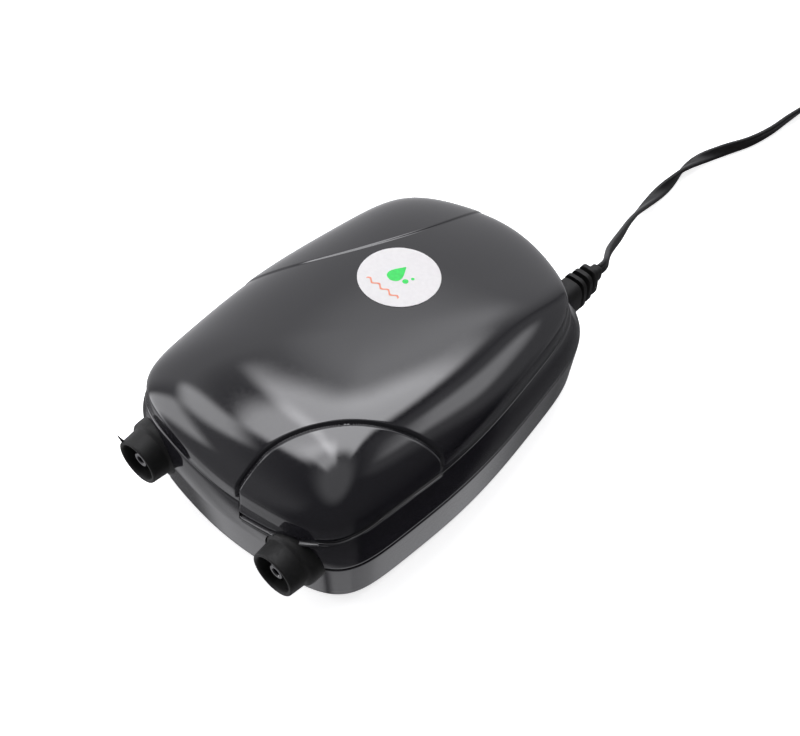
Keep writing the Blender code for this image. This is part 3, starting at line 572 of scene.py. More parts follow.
# The front right panel's edge is a superellipse in plan, open to the right and to the front.
# The rear left panel's edge is a shallow curve, as (start, slope, bend) of x over y. Both
# distances are positive inside the panel.
PANEL_CENTRE = (46.0, -54.3)
PANEL_SIZE = (36.4, 35.9)
PANEL_POWER = 1.65
PANEL_RISE = 0.45
GROOVE_DEPTH = 0.85
GROOVE_WIDTH = 0.6
GROOVE_DISTANCE = 0.3  # from the panel's edge to the middle of its groove
REAR_PANEL_EDGE = (-36.3, 0.714, -0.00504)
REAR_PANEL_RISE = 0.3
REAR_PANEL_WEIGHT = 0.4  # how strongly its lip shows, against the front panel's


def front_panel_distance(x, y):
    """Distance in plan from the front right panel's edge."""
    across = np.clip((PANEL_CENTRE[0] - x) / PANEL_SIZE[0], 1e-4, None)
    along = np.clip((y - PANEL_CENTRE[1]) / PANEL_SIZE[1], 1e-4, None)
    level = (across**PANEL_POWER + along**PANEL_POWER) ** (1.0 / PANEL_POWER)
    slope_x = (across / level) ** (PANEL_POWER - 1) / PANEL_SIZE[0]
    slope_y = (along / level) ** (PANEL_POWER - 1) / PANEL_SIZE[1]
    return (1.0 - level) / np.hypot(slope_x, slope_y)


def rear_panel_distance(x, y):
    """Distance in plan from the rear left panel's edge."""
    start, slope, bend = REAR_PANEL_EDGE
    edge = start + slope * y + bend * y**2
    return (edge - x) / np.hypot(1.0, slope + 2 * bend * y)


def panel_relief(x, y):
    """How far the dome's panels and the front one's groove stand out of the dome."""
    front = front_panel_distance(x, y)
    relief = PANEL_RISE * smoothstep(-0.1, 0.8, front)
    relief = relief - GROOVE_DEPTH * np.exp(-((front + GROOVE_DISTANCE) / GROOVE_WIDTH) ** 2)
    rear = rear_panel_distance(x, y)
    return relief + REAR_PANEL_RISE * smoothstep(-0.5, 0.5, rear)


# Height of the front right panel's lip, along the casing's side from the front to the right.
LIP_X = (8.0, 14.4, 20.0, 25.0, 30.5, 36.0)
LIP_FRONT_Z = (25.6, 26.0, 26.4, 27.2, 28.9, 30.6)
LIP_Y = (-58.0, -51.0, -42.0, -30.0, -17.0)
LIP_SIDE_Z = (30.6, 31.9, 32.6, 32.2, 31.2)


def lip_height(x, y):
    """Height of the edge along the casing's side: a lip under each panel, else the shoulder."""
    on_front = np.interp(x, LIP_X, LIP_FRONT_Z)
    on_side = np.interp(y, LIP_Y, LIP_SIDE_Z)
    return np.where(y < LIP_Y[0], on_front, on_side)


# The casing's edge seen from the side, as (outward, up) from the edge's height: the plain
# shoulder, where the dome drops into a fine groove behind the band, and the panels' lip.
SHOULDER_EDGE = (
    (0.38, 1.60),
    (0.42, 1.20),
    (0.46, 0.80),
    (0.49, 0.45),
    (0.50, 0.25),
    (0.44, 0.12),
    (0.30, 0.04),
    (0.30, -0.10),
    (0.46, -0.14),
    (0.62, -0.18),
    (0.72, -0.30),
    (0.77, -0.50),
    (0.80, -0.90),
    (0.80, -1.40),
)
PANEL_EDGE = (
    (0.70, 1.60),
    (0.70, 1.00),
    (0.74, 0.62),
    (0.84, 0.53),
    (1.00, 0.51),
    (1.50, 0.46),
    (1.64, 0.36),
    (1.68, 0.12),
    (1.56, -0.12),
    (1.28, -0.26),
    (0.80, -0.34),
    (0.46, -0.50),
    (0.44, -0.80),
    (0.80, -1.40),
)

# The lower rim of the cover, as (outward, up) from the parting line: its edge, the rebate that
# takes the tub's tongue, and the inside of the wall. Then the tub's own rim.
COVER_RIM = (
    (0.78, 0.55),
    (0.66, 0.32),
    (0.45, 0.24),
    (-0.3, 0.24),
    (-0.4, 0.4),
    (-0.4, 1.7),
    (-1.4, 1.8),
)
TUB_RIM = (
    (-1.9, 1.4),
    (-0.6, 1.4),
    (-0.55, -0.2),
    (0.45, -0.24),
    (0.66, -0.32),
    (0.78, -0.55),
    (0.8, -0.9),
)
RIM_ROUND = 0.9  # height over which each rim turns in from the casing's side
APRON_GAP = 2.6  # how far the tub stays behind the cover's apron between the outlets

FINE_SECTORS = ((-102.0, -8.0), (84.0, 196.0))
FINE_STEP = 0.3
COARSE_STEP = 0.9


def column_angles():
    """Angles round the casing, closer together where a panel's edge runs."""
    angles = []
    angle = -110.0
    while angle < 250.0 - 1e-6:
        angles.append(angle)
        dense = any(low <= angle < high for low, high in FINE_SECTORS)
        angle += FINE_STEP if dense else COARSE_STEP
    return np.radians(angles)


def edge_line(angles):
    """Height of the casing's edge round it, and how much of a panel's lip it has there."""
    x, y, _ = dome_point(angles, np.full(len(angles), 0.9999)).T
    front = smoothstep(0.0, 0.7, front_panel_distance(x, y))
    rear = smoothstep(0.0, 0.7, rear_panel_distance(x, y))
    mirrored = lip_height(-x, 2 * OUTLINE_SHIFT - y)
    line = SHOULDER_Z + front * (lip_height(x, y) - SHOULDER_Z)
    line = line + rear * (mirrored - SHOULDER_Z) * REAR_PANEL_WEIGHT
    return line, front + REAR_PANEL_WEIGHT * rear


def dome_rows(angles):
    """The dome with its panels, from its middle out to the top of its steep wall."""
    inner = np.linspace(0.012, 0.36, 14)
    outer = np.linspace(0.36, DOME_WALL_SHARE, 124)[1:]
    rows = []
    for share in np.concatenate([inner, outer]):
        station = np.full(len(angles), share)
        points = dome_point(angles, station)
        relief = panel_relief(points[:, 0], points[:, 1])
        rows.append(points + normals(dome_point, angles, station) * relief[:, None])
    return rows


def wall_rows(angles, line, lip):
    """The dome's steep wall down to the edge, then the edge itself."""
    edge_top = SHOULDER_EDGE[0][1]
    rows = []
    for step in np.linspace(0.0, 1.0, 30)[1:-1]:
        z = WALL_TOP_Z + (line + edge_top - WALL_TOP_Z) * step
        points = side_point(angles, z)
        relief = panel_relief(points[:, 0], points[:, 1])
        flare = (0.38 + 0.2 * lip) * smoothstep(0.0, 1.0, step)
        rows.append(points + normals(side_point, angles, z) * (relief + flare)[:, None])
    for (plain_out, plain_up), (lip_out, lip_up) in zip(SHOULDER_EDGE, PANEL_EDGE):
        out = plain_out + (lip_out - plain_out) * lip
        z = line + plain_up + (lip_up - plain_up) * lip
        rows.append(side_point(angles, z, out))
    return rows


def on_apron(angles, half_width):
    """Which angles lie on the front between the outlets."""
    at_parting = side_point(angles, np.full(len(angles), PARTING_Z))
    return (np.abs(at_parting[:, 0]) < half_width) & (at_parting[:, 1] < 0)


def make_cover():
    """The cover: dome, edge, band and rim, then the same way back inside the wall."""
    angles = column_angles()
    columns = len(angles)
    line, lip = edge_line(angles)
    rows = dome_rows(angles) + wall_rows(angles, line, lip)
    foot = np.where(on_apron(angles, OUTLET_X), BASE_Z, PARTING_Z)
    start = line + SHOULDER_EDGE[-1][1]
    end = foot + RIM_ROUND
    for step in np.linspace(0.0, 1.0, 26)[1:]:
        rows.append(side_point(angles, start + (end - start) * step, SHOULDER_STEP))
    for out, up in COVER_RIM:
        rows.append(side_point(angles, foot + up, out))
    rim_top = foot + COVER_RIM[-1][1]
    for step in np.linspace(0.0, 1.0, 8)[1:]:
        z = rim_top + (SHOULDER_Z - 0.5 - rim_top) * step
        rows.append(side_point(angles, z, SHOULDER_STEP - WALL))
    for share in np.linspace(1.0, 0.02, 12)[1:]:
        inside = dome_point(angles, np.full(columns, share) * 0.96)
        rows.append(inside - np.array([0, 0, WALL]))
    cover = outward(closed_grid("glossy_cover", np.array(rows)))
    return finish_piece(cut_openings(cover), "casing", "upper_cover")


def cut_openings(shell):
    """Cuts the holes of the two sleeves and of the strain relief."""
    cutters = []
    for x in (-OUTLET_X, OUTLET_X):
        ends = (x, -80, OUTLET_Z), (x, -50, OUTLET_Z)
        cutters.append(rod("sleeve_hole", *ends, COLLAR_RADIUS - 0.15))
    low, high = (LEAD_X - 4.7, 52, LEAD_Z - 6.7), (LEAD_X + 4.7, 76, LEAD_Z + 6.7)
    cutters.append(block("lead_hole", low, high))
    return cut(shell, *cutters)


FEET = ((-30, -52), (30, -52), (-23, 55), (23, 55))
POSTS = ((-35.5, -40), (35.5, -40), (-31, 42), (31, 42))
DISC_SHARES = (0.05, 0.3, 0.6, 0.9, 1.0)  # rings of the tub's flat base


def make_casing():
    """The tub: rim, side, rounded edge and base, then back up the inside of its wall."""
    angles = column_angles()[::2]
    columns = len(angles)
    behind = np.where(on_apron(angles, OUTLET_X + 0.3), -APRON_GAP, 0.0)

    def level(z, offset):
        return side_point(angles, np.full(columns, z), offset + behind)

    rows = [level(PARTING_Z + up, out) for out, up in TUB_RIM]
    for z in np.linspace(PARTING_Z - RIM_ROUND, BASE_Z + BASE_EDGE, 12)[1:]:
        rows.append(level(z, SHOULDER_STEP))
    for step in np.linspace(0.0, 0.98, 9)[1:]:
        z = BASE_Z + BASE_EDGE * (1.0 - math.sin(step * math.pi / 2))
        rows.append(level(z, SHOULDER_STEP))
    under = level(BASE_Z, SHOULDER_STEP - 0.6)
    centre = np.array([0.0, OUTLINE_SHIFT, BASE_Z])
    rows += [centre + (under - centre) * share for share in reversed(DISC_SHARES)]
    floor = level(BASE_Z + WALL, SHOULDER_STEP - WALL)
    centre = np.array([0.0, OUTLINE_SHIFT, BASE_Z + WALL])
    rows += [centre + (floor - centre) * share for share in DISC_SHARES]
    for z in np.linspace(BASE_Z + WALL, PARTING_Z + TUB_RIM[0][1], 8)[1:-1]:
        rows.append(level(z, SHOULDER_STEP - WALL))
    faces = skin_faces(len(rows), columns, True)
    casing = outward(mesh_object("glossy_lower_casing", np.concatenate(rows), faces))
    cut_openings(casing)
    cutters = []
    for x, y in FEET:
        cutters.append(rod("foot_recess", (x, y, 0), (x, y, BASE_Z + 0.8), 6.2))
    for x, y in POSTS:
        cutters.append(rod("screw_hole", (x, y, 0), (x, y, BASE_Z + 6.0), 3.2))
    for slot in range(5):
        y = 20 + 4.5 * slot
        cutters.append(block("air_slot", (-11, y - 1, 0), (11, y + 1, BASE_Z + WALL + 1)))
    return finish_piece(cut(casing, *cutters), "casing", "lower_casing")


# Air outlets


SLEEVE_PROFILE = (
    (NIPPLE_RADIUS + 0.3, CUP_DEPTH),
    (CUP_RADIUS - 0.3, CUP_DEPTH),
    (CUP_RADIUS, 0.8),
    (CUP_RADIUS + 0.35, 0.0),
    (SLEEVE_RADIUS - 0.1, 0.0),
    (SLEEVE_RADIUS + 0.05, 1.2),
    (SLEEVE_RADIUS + 0.45, SLEEVE_REACH - 1.4),
    (COLLAR_RADIUS - 0.2, SLEEVE_REACH - 0.7),
    (COLLAR_RADIUS, SLEEVE_REACH + 0.6),
    (COLLAR_RADIUS, SLEEVE_REACH + COLLAR_DEPTH),
    (NECK_RADIUS, SLEEVE_REACH + COLLAR_DEPTH),
    (NECK_RADIUS, SLEEVE_REACH + COLLAR_DEPTH + 2),
    (NIPPLE_RADIUS + 0.3, SLEEVE_REACH + COLLAR_DEPTH + 2),
)


def make_sleeves():
    """The rubber cups over the two nipples, from the cup's floor round to the neck."""
    profile = rounded_corners(list(SLEEVE_PROFILE), 0.45)
    for side, sign in SIDES:
        centre = (sign * OUTLET_X, SLEEVE_TIP_Y, OUTLET_Z)
        sleeve = turned(f"rubber_sleeve_{side}", profile, centre, (0, 1, 0), 128)
        finish_piece(sleeve, "rubber", f"outlet_sleeve_{side}")


def make_flash():
    """The wisp of rubber that the mould left on the left sleeve's rim."""
    start = np.array((-OUTLET_X - 5.4, SLEEVE_TIP_Y + 0.5, OUTLET_Z + 5.2))
    angles = np.linspace(0.0, math.tau, 12, endpoint=False)
    rows = []
    for share in np.linspace(0.0, 1.0, 12):
        middle = start + (-1.5 * share, -0.5 * share, 1.3 * share + 0.9 * share**3)
        radius = 0.42 * (1.0 - share) ** 0.7 + 0.06
        ring = np.stack([radius * np.cos(angles), radius * np.sin(angles), 0 * angles], axis=1)
        rows.append(middle + ring)
    flash = outward(closed_grid("sleeve_flash", np.array(rows), 60.0))
    finish_piece(flash, "rubber")


# Label


LABEL_CENTRE = (-6.7, 19.0)
LABEL_RADIUS = 12.65
# Foot and top of the ink over the dome; the sticker's own top is in between.
INK_FOOT = 0.1
INK_TOP = 0.2


def dome_z(x, y):
    """Height of the plain dome over points in plan."""
    size = (SHOULDER_HALF_WIDTH, SHOULDER_HALF_LENGTH, SHOULDER_HALF_LENGTH)
    wanted = np.arctan2(y - OUTLINE_SHIFT, x)
    angle = wanted.copy()
    for _ in range(20):
        edge_x, edge_y = outline(angle, *size)
        miss = wanted - np.arctan2(edge_y - OUTLINE_SHIFT, edge_x)
        angle += 0.6 * (np.mod(miss + math.pi, math.tau) - math.pi)
    edge_x, edge_y = outline(angle, *size)
    share = np.hypot(x, y - OUTLINE_SHIFT) / np.hypot(edge_x, edge_y - OUTLINE_SHIFT)
    return dome_height(share) + dome_tilt(y, share)


def draped(name, ring, low, high, reaches, soft=0.03):
    """A thin closed body on the dome, from an outline about its middle, both as (x, y)."""
    middle = ring.mean(axis=0)
    rows = []
    levels = [(reach, low) for reach in reaches] + [(1.0, high - soft)]
    inset = soft / np.hypot(*(ring - middle).T).mean()
    levels += [(1.0 - inset, high)] + [(reach, high) for reach in reversed(reaches[:-1])]
    for reach, up in levels:
        x, y = (middle + (ring - middle) * reach).T
        rows.append(np.stack([x, y, dome_z(x, y) + up], axis=-1))
    return outward(closed_grid(name, np.array(rows), 30.0))


def make_label():
    """A plain white sticker with a drop, two bubbles and a wave in place of any mark."""
    x, y = LABEL_CENTRE
    around = np.linspace(0.0, math.tau, 144, endpoint=False)
    circle = np.stack([np.cos(around), np.sin(around)], axis=1)
    reaches = tuple(np.linspace(0.04, 1.0, 14))
    sticker = draped("round_sticker", circle * LABEL_RADIUS + (x, y), -0.05, 0.16, reaches)
    finish_piece(sticker, "label", "label")

    few = tuple(np.linspace(0.1, 1.0, 5))
    point = (1.0 + np.sin(around)) / 2.0
    drop_x = 3.0 * np.cos(around) * (1.0 - 0.75 * point**1.6)
    drop_y = 3.3 * np.sin(around) + 0.7 * point**4
    marks = (
        ("sticker_drop", np.stack([drop_x, drop_y], axis=1) + (x - 1.2, y + 0.4)),
        ("sticker_bubble_large", circle * 0.95 + (x + 2.8, y - 0.3)),
        ("sticker_bubble_small", circle * 0.55 + (x + 3.7, y + 2.0)),
    )
    for name, ring in marks:
        mark = finish_piece(draped(name, ring, INK_FOOT, INK_TOP, few), "label")
        mark.data.materials[0] = MATERIALS["green_ink"]

    along = np.linspace(0.0, 1.0, 120)
    wave_x = x - 6.8 + 12.8 * along
    wave_y = y - 7.0 + 0.55 * np.sin(along * math.tau * 3.5)
    half = 0.32
    rows = []
    for across, up in ((-half, INK_FOOT), (-half, INK_TOP), (half, INK_TOP), (half, INK_FOOT)):
        z = dome_z(wave_x, wave_y + across) + up
        rows.append(np.stack([wave_x, wave_y + across, z], axis=-1))
    wave = outward(closed_grid("sticker_wave", np.array(rows).transpose(1, 0, 2), 30.0))
    finish_piece(wave, "label").data.materials[0] = MATERIALS["orange_ink"]


# Strain relief


RELIEF_Y = (60.0, 80.6)
RELIEF_SHOULDER_Y = 66.8
RELIEF_RIBS_Y = (68.6, 72.0, 75.4)


def rounded_section(half_x, half_z, power, steps=56):
    """A rounded rectangle about the origin, as (x, z)."""
    angles = (np.arange(steps) + 0.5) * math.tau / steps
    x, z = np.cos(angles), np.sin(angles)
    x = half_x * np.sign(x) * np.abs(x) ** (2.0 / power)
    z = half_z * np.sign(z) * np.abs(z) ** (2.0 / power)
    return x, z


def make_strain_relief():
    """A boot with a block in the casing, a tapering core and three ribs that get smaller."""
    rows = []
    for y in np.arange(RELIEF_Y[0], RELIEF_Y[1] + 0.01, 0.12):
        down = np.interp(y, (67.0, RELIEF_Y[1]), (0.0, 1.0))
        half_x, half_z = 2.4 - 0.4 * down, 4.2 - 1.4 * down
        if y < RELIEF_SHOULDER_Y:
            half_x, half_z = 4.2, 6.2
        for number, rib in enumerate(RELIEF_RIBS_Y):
            weight = float(smoothstep(1.1, 0.7, abs(y - rib)))
            half_x += (4.2 - 0.35 * number - half_x) * weight
            half_z += (6.4 - 0.45 * number - half_z) * weight
        end = max(0.0, y - RELIEF_Y[1] + 0.8)
        rim = 1.0 - 0.25 * end**2
        x, z = rounded_section(half_x * rim, half_z * rim, 3.4)
        rows.append(np.stack([LEAD_X + x, np.full(len(x), y), LEAD_Z + z], axis=1))
    boot = outward(closed_grid("ribbed_boot", np.array(rows), 50.0))
    return finish_piece(boot, "rubber", "strain_relief")


# Plug and tie


# The plug along its length, as (along, half width, half thickness).
PLUG_SECTIONS = (
    (0.0, 2.9, 1.9),
    (3.0, 3.2, 2.6),
    (5.5, 4.4, 3.2),
    (9.0, 8.8, 4.2),
    (12.0, 10.3, 4.5),
    (17.0, 10.2, 4.3),
    (22.0, 11.0, 4.5),
    (23.3, 10.7, 4.2),
    (23.5, 10.2, 3.8),
)
PLUG_GRIP = (12.5, 20.2)
PLUG_PIN_SPACING = 12.7
PLUG_PIN_LENGTH = 15.9
PLUG_PIN_HALF_SIZES = (0.75, 3.15)
# A pin's stations from its tip, and its size there.
PLUG_PIN_TAPER = ((-3.0, 1.0), (-1.2, 0.93), (-0.4, 0.8), (0.0, 0.55))


def plug_place(points):
    """Points in the plug's frame, along, across and up, moved to the end of the tail."""
    end, before = np.array(TAIL_ROUTE[-1]), np.array(TAIL_ROUTE[-2])
    turn = math.atan2(end[1] - before[1], end[0] - before[0])
    along, across, up = np.asarray(points, float).T
    x = along * math.cos(turn) - across * math.sin(turn)
    y = along * math.sin(turn) + across * math.cos(turn)
    return np.stack([x, y, up], axis=-1) + end


def plug_loft(name, sections, power):
    """A closed body through rounded sections of (along, half width, half thickness)."""
    rows = []
    for along, half_wide, half_thick in sections:
        wide, thick = rounded_section(half_wide, half_thick, power, 64)
        rows.append(plug_place(np.stack([np.full(64, along), wide, thick], axis=1)))
    return outward(closed_grid(name, np.array(rows), 40.0))


def make_plug():
    """The plug's body, ribbed for the fingers, and its two flat pins."""
    stations = np.arange(0.0, 23.51, 0.25)
    table = np.array(PLUG_SECTIONS)
    wide = np.interp(stations, table[:, 0], table[:, 1])
    thick = np.interp(stations, table[:, 0], table[:, 2])
    grip = 0.35 * np.clip(np.sin((stations - PLUG_GRIP[0]) * math.tau / 2.2), 0.0, 1.0)
    thick -= np.where((stations > PLUG_GRIP[0]) & (stations < PLUG_GRIP[1]), grip, 0.0)
    body = plug_loft("moulded_plug", np.stack([stations, wide, thick], axis=1), 3.6)
    pieces = [finish_piece(body, "cord", "plug_body")]
    face = PLUG_SECTIONS[-1][0]
    tip = face + PLUG_PIN_LENGTH
    stations = [(face - 8.4, 1.0)] + [(tip + back, size) for back, size in PLUG_PIN_TAPER]
    half_thick, half_wide = PLUG_PIN_HALF_SIZES
    for side, sign in SIDES:
        rows = []
        for along, size in stations:
            across, up = rounded_section(half_thick * size, half_wide * size, 8.0, 40)
            across = across + sign * PLUG_PIN_SPACING / 2
            rows.append(plug_place(np.stack([np.full(40, along), across, up], axis=1)))
        pin = outward(closed_grid(f"flat_pin_{side}", np.array(rows), 40.0))
        pieces.append(finish_piece(pin, "brass", f"plug_pin_{side}"))
    return pieces


TIE_REACH = 25.5  # from the coil's centre to the middle of the band
TIE_HALF_SIZES = (6.2, 4.4)
TIE_Z = 5.0
# The band's section, as (across, thick).
TIE_SECTION = (
    (-1.5, -0.2),
    (-1.5, 0.2),
    (-1.2, 0.35),
    (1.2, 0.35),
    (1.5, 0.2),
    (1.5, -0.2),
    (1.2, -0.35),
    (-1.2, -0.35),
)


def make_tie():
    """A flat rubber band round the far side of the coil's turns."""
    x, y = COIL_CENTRE[0], COIL_CENTRE[1] + TIE_REACH
    half_y, half_z = TIE_HALF_SIZES
    angles = np.linspace(0.0, math.tau, 96, endpoint=False)
    along, up = np.cos(angles), np.sin(angles)
    around_y = half_y * np.sign(along) * np.abs(along) ** 0.5
    around_z = half_z * np.sign(up) * np.abs(up) ** 0.5
    rows = []
    for across, thick in TIE_SECTION:
        grow = 1.0 + thick / half_z
        points = [np.full(96, x + across), y + around_y * grow, TIE_Z + around_z * grow]
        rows.append(np.stack(points, axis=1))
    points = np.concatenate(rows)
    tie = outward(mesh_object("band_tie", points, skin_faces(len(rows), 96, True), 40.0))
    return finish_piece(tie, "rubber", "cord_tie")


# Feet and diaphragms


FOOT_PROFILE = (
    (0.6, 0.5),
    (3.6, 0.35),
    (4.2, 0.0),
    (5.1, 0.0),
    (5.7, 0.5),
    (6.0, 2.6),
    (0.6, 2.6),
)


def make_feet():
    profile = rounded_corners(list(FOOT_PROFILE), 0.3)
    for name, (x, y) in zip(("front_left", "front_right", "rear_left", "rear_right"), FEET):
        foot = turned(f"rubber_foot_{name}", profile, (x, y, 0), (0, 0, 1), 72)
        finish_piece(foot, "rubber", f"foot_{name}")


DIAPHRAGM_Y = -16
# From the arm's screw out over the rolled skirt to the bead in the valve box, and back.
DIAPHRAGM_PROFILE = (
    (1.8, 11.6),
    (4.2, 11.6),
    (4.8, 12.5),
    (5.7, 14.6),
    (6.6, 16.6),
    (7.6, 17.6),
    (9.2, 17.8),
    (9.2, 19.2),
    (7.0, 19.2),
    (6.4, 18.4),
    (5.0, 15.8),
    (3.5, 13.2),
    (1.8, 13.2),
)


def make_diaphragms():
    """The two diaphragms, each turned from the profile about its side's axis, in place of the
    CAD's.
    """
    profile = rounded_corners(list(DIAPHRAGM_PROFILE), 0.6)
    for side, sign in SIDES:
        centre = (0, DIAPHRAGM_Y, OUTLET_Z)
        piece = turned(f"moulded_diaphragm_{side}", profile, centre, (sign, 0, 0), 96)
        piece.data.materials.clear()
        piece.data.materials.append(MATERIALS["rubber"])
        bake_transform(piece)
        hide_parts(f"diaphragm_{side}")


# Mains lead


def evened(values, count):
    """The values as a running average over count of them, an odd number."""
    window = np.hanning(count)
    window /= window.sum()
    return np.convolve(np.pad(values, count // 2, mode="edge"), window, mode="valid")


def coil_points():
    """The coil's turns, which start and end where the lead and the tail join it."""
    course = np.array(COIL_COURSE)
    turns = np.arange(0.0, course[-1, 0], 1.0 / COIL_POINTS_PER_TURN)
    radius = evened(np.interp(turns, course[:, 0], course[:, 1]), 9)
    height = evened(np.interp(turns, course[:, 0], course[:, 2]), 9)
    x = COIL_CENTRE[0] - radius * np.cos(math.tau * turns)
    y = COIL_CENTRE[1] + radius * np.sin(math.tau * turns)
    return np.stack([x, y, height], axis=1)


def flat_twin(width, thickness, steps=7):
    """The section of a flat twin cord: two round lobes and a web, as (across, up)."""
    lobe = thickness / 2
    middle = width / 2 - lobe
    points = []
    for sign in (1, -1):
        for step in range(steps + 1):
            angle = math.radians(-115 + 230 * step / steps)
            points.append((sign * (middle + lobe * math.cos(angle)), sign * lobe * math.sin(angle)))
        points.append((0.0, sign * lobe * 0.62))
    return points


def sweep(name, path, roll, section):
    """A closed tube of one section along a path, rolled from flat by so many degrees."""
    along = np.gradient(path, axis=0)
    along /= np.linalg.norm(along, axis=1, keepdims=True)
    side = np.cross(along, (0, 0, 1))
    side /= np.linalg.norm(side, axis=1, keepdims=True)
    up = np.cross(side, along)
    turn = np.radians(roll)[:, None]
    across = np.cos(turn) * side + np.sin(turn) * up
    over = -np.sin(turn) * side + np.cos(turn) * up
    grid = np.array([path + across * a + over * b for a, b in section]).transpose(1, 0, 2)
    return outward(closed_grid(name, grid, 60.0))


def make_lead(*on_lead):
    """The whole cord in one piece. The pieces that are on it, on_lead, are not used."""
    lead = smooth_route(LEAD_ROUTE, LEAD_SPACING)
    tail = smooth_route(TAIL_ROUTE, LEAD_SPACING)
    path = np.concatenate([lead[:-1], coil_points(), tail])
    distance = np.concatenate([[0.0], np.cumsum(np.linalg.norm(np.diff(path, axis=0), axis=1))])
    roll_at, roll = np.array(LEAD_ROLL, float).T
    rolls = evened(np.interp(distance, roll_at, roll), 11)
    cord = sweep("flat_twin_lead", path, rolls, flat_twin(LEAD_WIDTH, LEAD_THICKNESS))
    finish_piece(cord, "cord", "power_cord", "cord_coil", "cord_tail")


# Studio


CAMERA_BEARING = 42.598  # degrees from -Y towards +X
CAMERA_ELEVATION = 50.504
CAMERA_DISTANCE = 450.0
CAMERA_TARGET = (7.829, 3.552, 27.002)
CAMERA_LENS = 67.587


def make_camera():
    camera = bpy.data.objects.new("camera", bpy.data.cameras.new("camera"))
    bpy.context.scene.collection.objects.link(camera)
    camera.data.sensor_fit = "HORIZONTAL"
    camera.data.sensor_width = 36.0
    camera.data.lens = CAMERA_LENS
    bearing, elevation = math.radians(CAMERA_BEARING), math.radians(CAMERA_ELEVATION)
    back = Vector((math.sin(bearing), -math.cos(bearing), math.tan(elevation))).normalized()
    camera.location = (Vector(CAMERA_TARGET) + back * CAMERA_DISTANCE) * MM
    camera.rotation_euler = (-back).to_track_quat("-Z", "Y").to_euler()
    camera.data.clip_start = 0.01
    bpy.context.scene.camera = camera


def math_node(tree, operation, first, second=None):
    """The result of a math node over numbers or other nodes' outputs."""
    node = tree.nodes.new("ShaderNodeMath")
    node.operation = operation
    for socket, value in zip(node.inputs, (first, second)):
        if isinstance(value, (int, float)):
            socket.default_value = value
        elif value is not None:
            tree.links.new(value, socket)
    return node.outputs["Value"]


def soft_step(tree, value, low, high):
    """Rises smoothly from zero at low to one at high."""
    node = tree.nodes.new("ShaderNodeMapRange")
    node.interpolation_type = "SMOOTHSTEP"
    node.inputs["From Min"].default_value = low
    node.inputs["From Max"].default_value = high
    tree.links.new(value, node.inputs["Value"])
    return node.outputs["Result"]


def soft_window(tree, value, low, high, soft):
    """One between low and high, falling to nothing over soft either side."""
    rise = soft_step(tree, value, low - soft, low + soft)
    fall = soft_step(tree, value, high + soft, high - soft)
    return math_node(tree, "MULTIPLY", rise, fall)


# The studio round the pump: light panels as (bearing from, to, edge) and (elevation from, to,
# edge) in degrees, and a strength. Bearings run from -Y towards +X.
STUDIO_BASE = 0.15
STUDIO_TINT = (0.97, 0.97, 1.0)
# The right of the studio is dark between these bearings, most of all low down.
STUDIO_DARK = (84, 131, 7)
STUDIO_PANELS = (
    ((-172, -114, 5), (54, 74, 3), 6.8),  # long softbox high at the rear left
    ((-118, -80, 5), (59, 71, 2.5), 6.0),  # its narrow end
    ((-128, -88, 6), (69, 79, 3), 4.8),  # its upper edge over the front panel
    ((-80, -64, 4), (44, 60, 4), 4.6),  # and its link to the strip light
    ((-66, -48, 4), (-20, 43, 4), 3.8),  # upright strip light at the front left
    ((-165, -135, 9), (45, 56, 5), 1.9),  # the glow under the softbox
    ((-178, -74, 10), (-30, 54, 8), 1.15),  # white wall behind and left
    ((-72, -12, 9), (-35, 60, 12), 0.45),  # paler wall in front
    ((-80, -38, 9), (-75, -36, 6), 0.6),  # bright table at the front left
    ((-42, -4, 8), (-75, -42, 5), 0.7),  # table in front
    ((12, 170, 14), (-91, -54, 5), 0.65),  # table at the right, close below
    ((146, 166, 5), (44, 62, 4), 2.6),  # small window behind at the right
    ((133, 178, 6), (-20, 66, 9), 0.5),  # wall behind right
    ((-190, 190, 1), (76, 95, 6), 1.0),  # ceiling
)


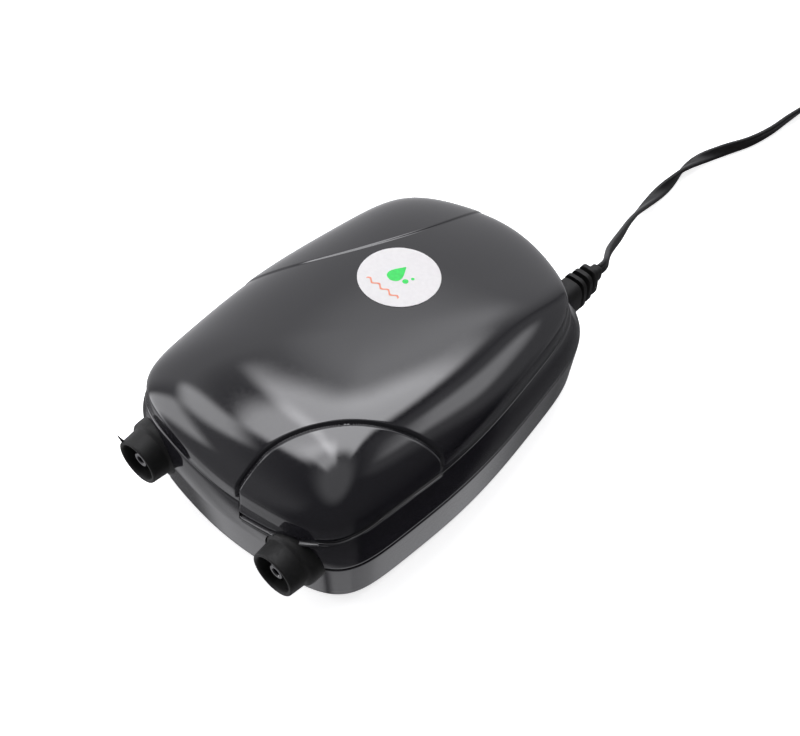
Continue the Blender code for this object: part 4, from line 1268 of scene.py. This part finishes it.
def make_world():
    """The studio as a world, whose light depends only on the direction that it comes from."""
    world = bpy.data.worlds.new("studio")
    bpy.context.scene.world = world
    world.use_nodes = True
    tree = world.node_tree
    place = tree.nodes.new("ShaderNodeTexCoord")
    split = tree.nodes.new("ShaderNodeSeparateXYZ")
    tree.links.new(place.outputs["Generated"], split.inputs["Vector"])
    x, y, z = split.outputs
    turn = math_node(tree, "ARCTAN2", x, math_node(tree, "MULTIPLY", y, -1.0))
    bearing = math_node(tree, "MULTIPLY", turn, math.degrees(1.0))
    elevation = math_node(tree, "MULTIPLY", math_node(tree, "ARCSINE", z), math.degrees(1.0))
    total = None
    for across, up, strength in STUDIO_PANELS:
        panel = math_node(
            tree, "MULTIPLY", soft_window(tree, bearing, *across), soft_window(tree, elevation, *up)
        )
        panel = math_node(tree, "MULTIPLY", panel, strength)
        total = panel if total is None else math_node(tree, "ADD", total, panel)
    dark = math_node(
        tree,
        "MULTIPLY",
        soft_window(tree, bearing, *STUDIO_DARK),
        soft_step(tree, elevation, 55, 0),
    )
    base = math_node(tree, "MULTIPLY", math_node(tree, "SUBTRACT", 1.0, dark), STUDIO_BASE)
    background = tree.nodes["Background"]
    background.inputs["Color"].default_value = (*STUDIO_TINT, 1.0)
    tree.links.new(math_node(tree, "ADD", total, base), background.inputs["Strength"])


def make_studio():
    """A plain pale floor and the soft light round it."""
    bm = bmesh.new()
    bmesh.ops.create_grid(bm, x_segments=1, y_segments=1, size=3.0)
    mesh = bpy.data.meshes.new("floor")
    bm.to_mesh(mesh)
    bm.free()
    floor = bpy.data.objects.new("floor", mesh)
    bpy.context.scene.collection.objects.link(floor)
    material, _, shader = node_material("pale_floor", grey(0.95), 0.9)
    shader.inputs["Emission Color"].default_value = (1.0, 1.0, 1.0, 1.0)
    shader.inputs["Emission Strength"].default_value = 0.75
    mesh.materials.append(material)
    floor.visible_glossy = False
    make_world()
    bpy.context.scene.view_settings.view_transform = "Standard"


make_camera()
make_studio()
finish_cad_nodes()
make_cover()
make_casing()
make_sleeves()
make_flash()
make_label()
make_feet()
make_diaphragms()
make_lead(make_strain_relief(), *make_plug(), make_tie())
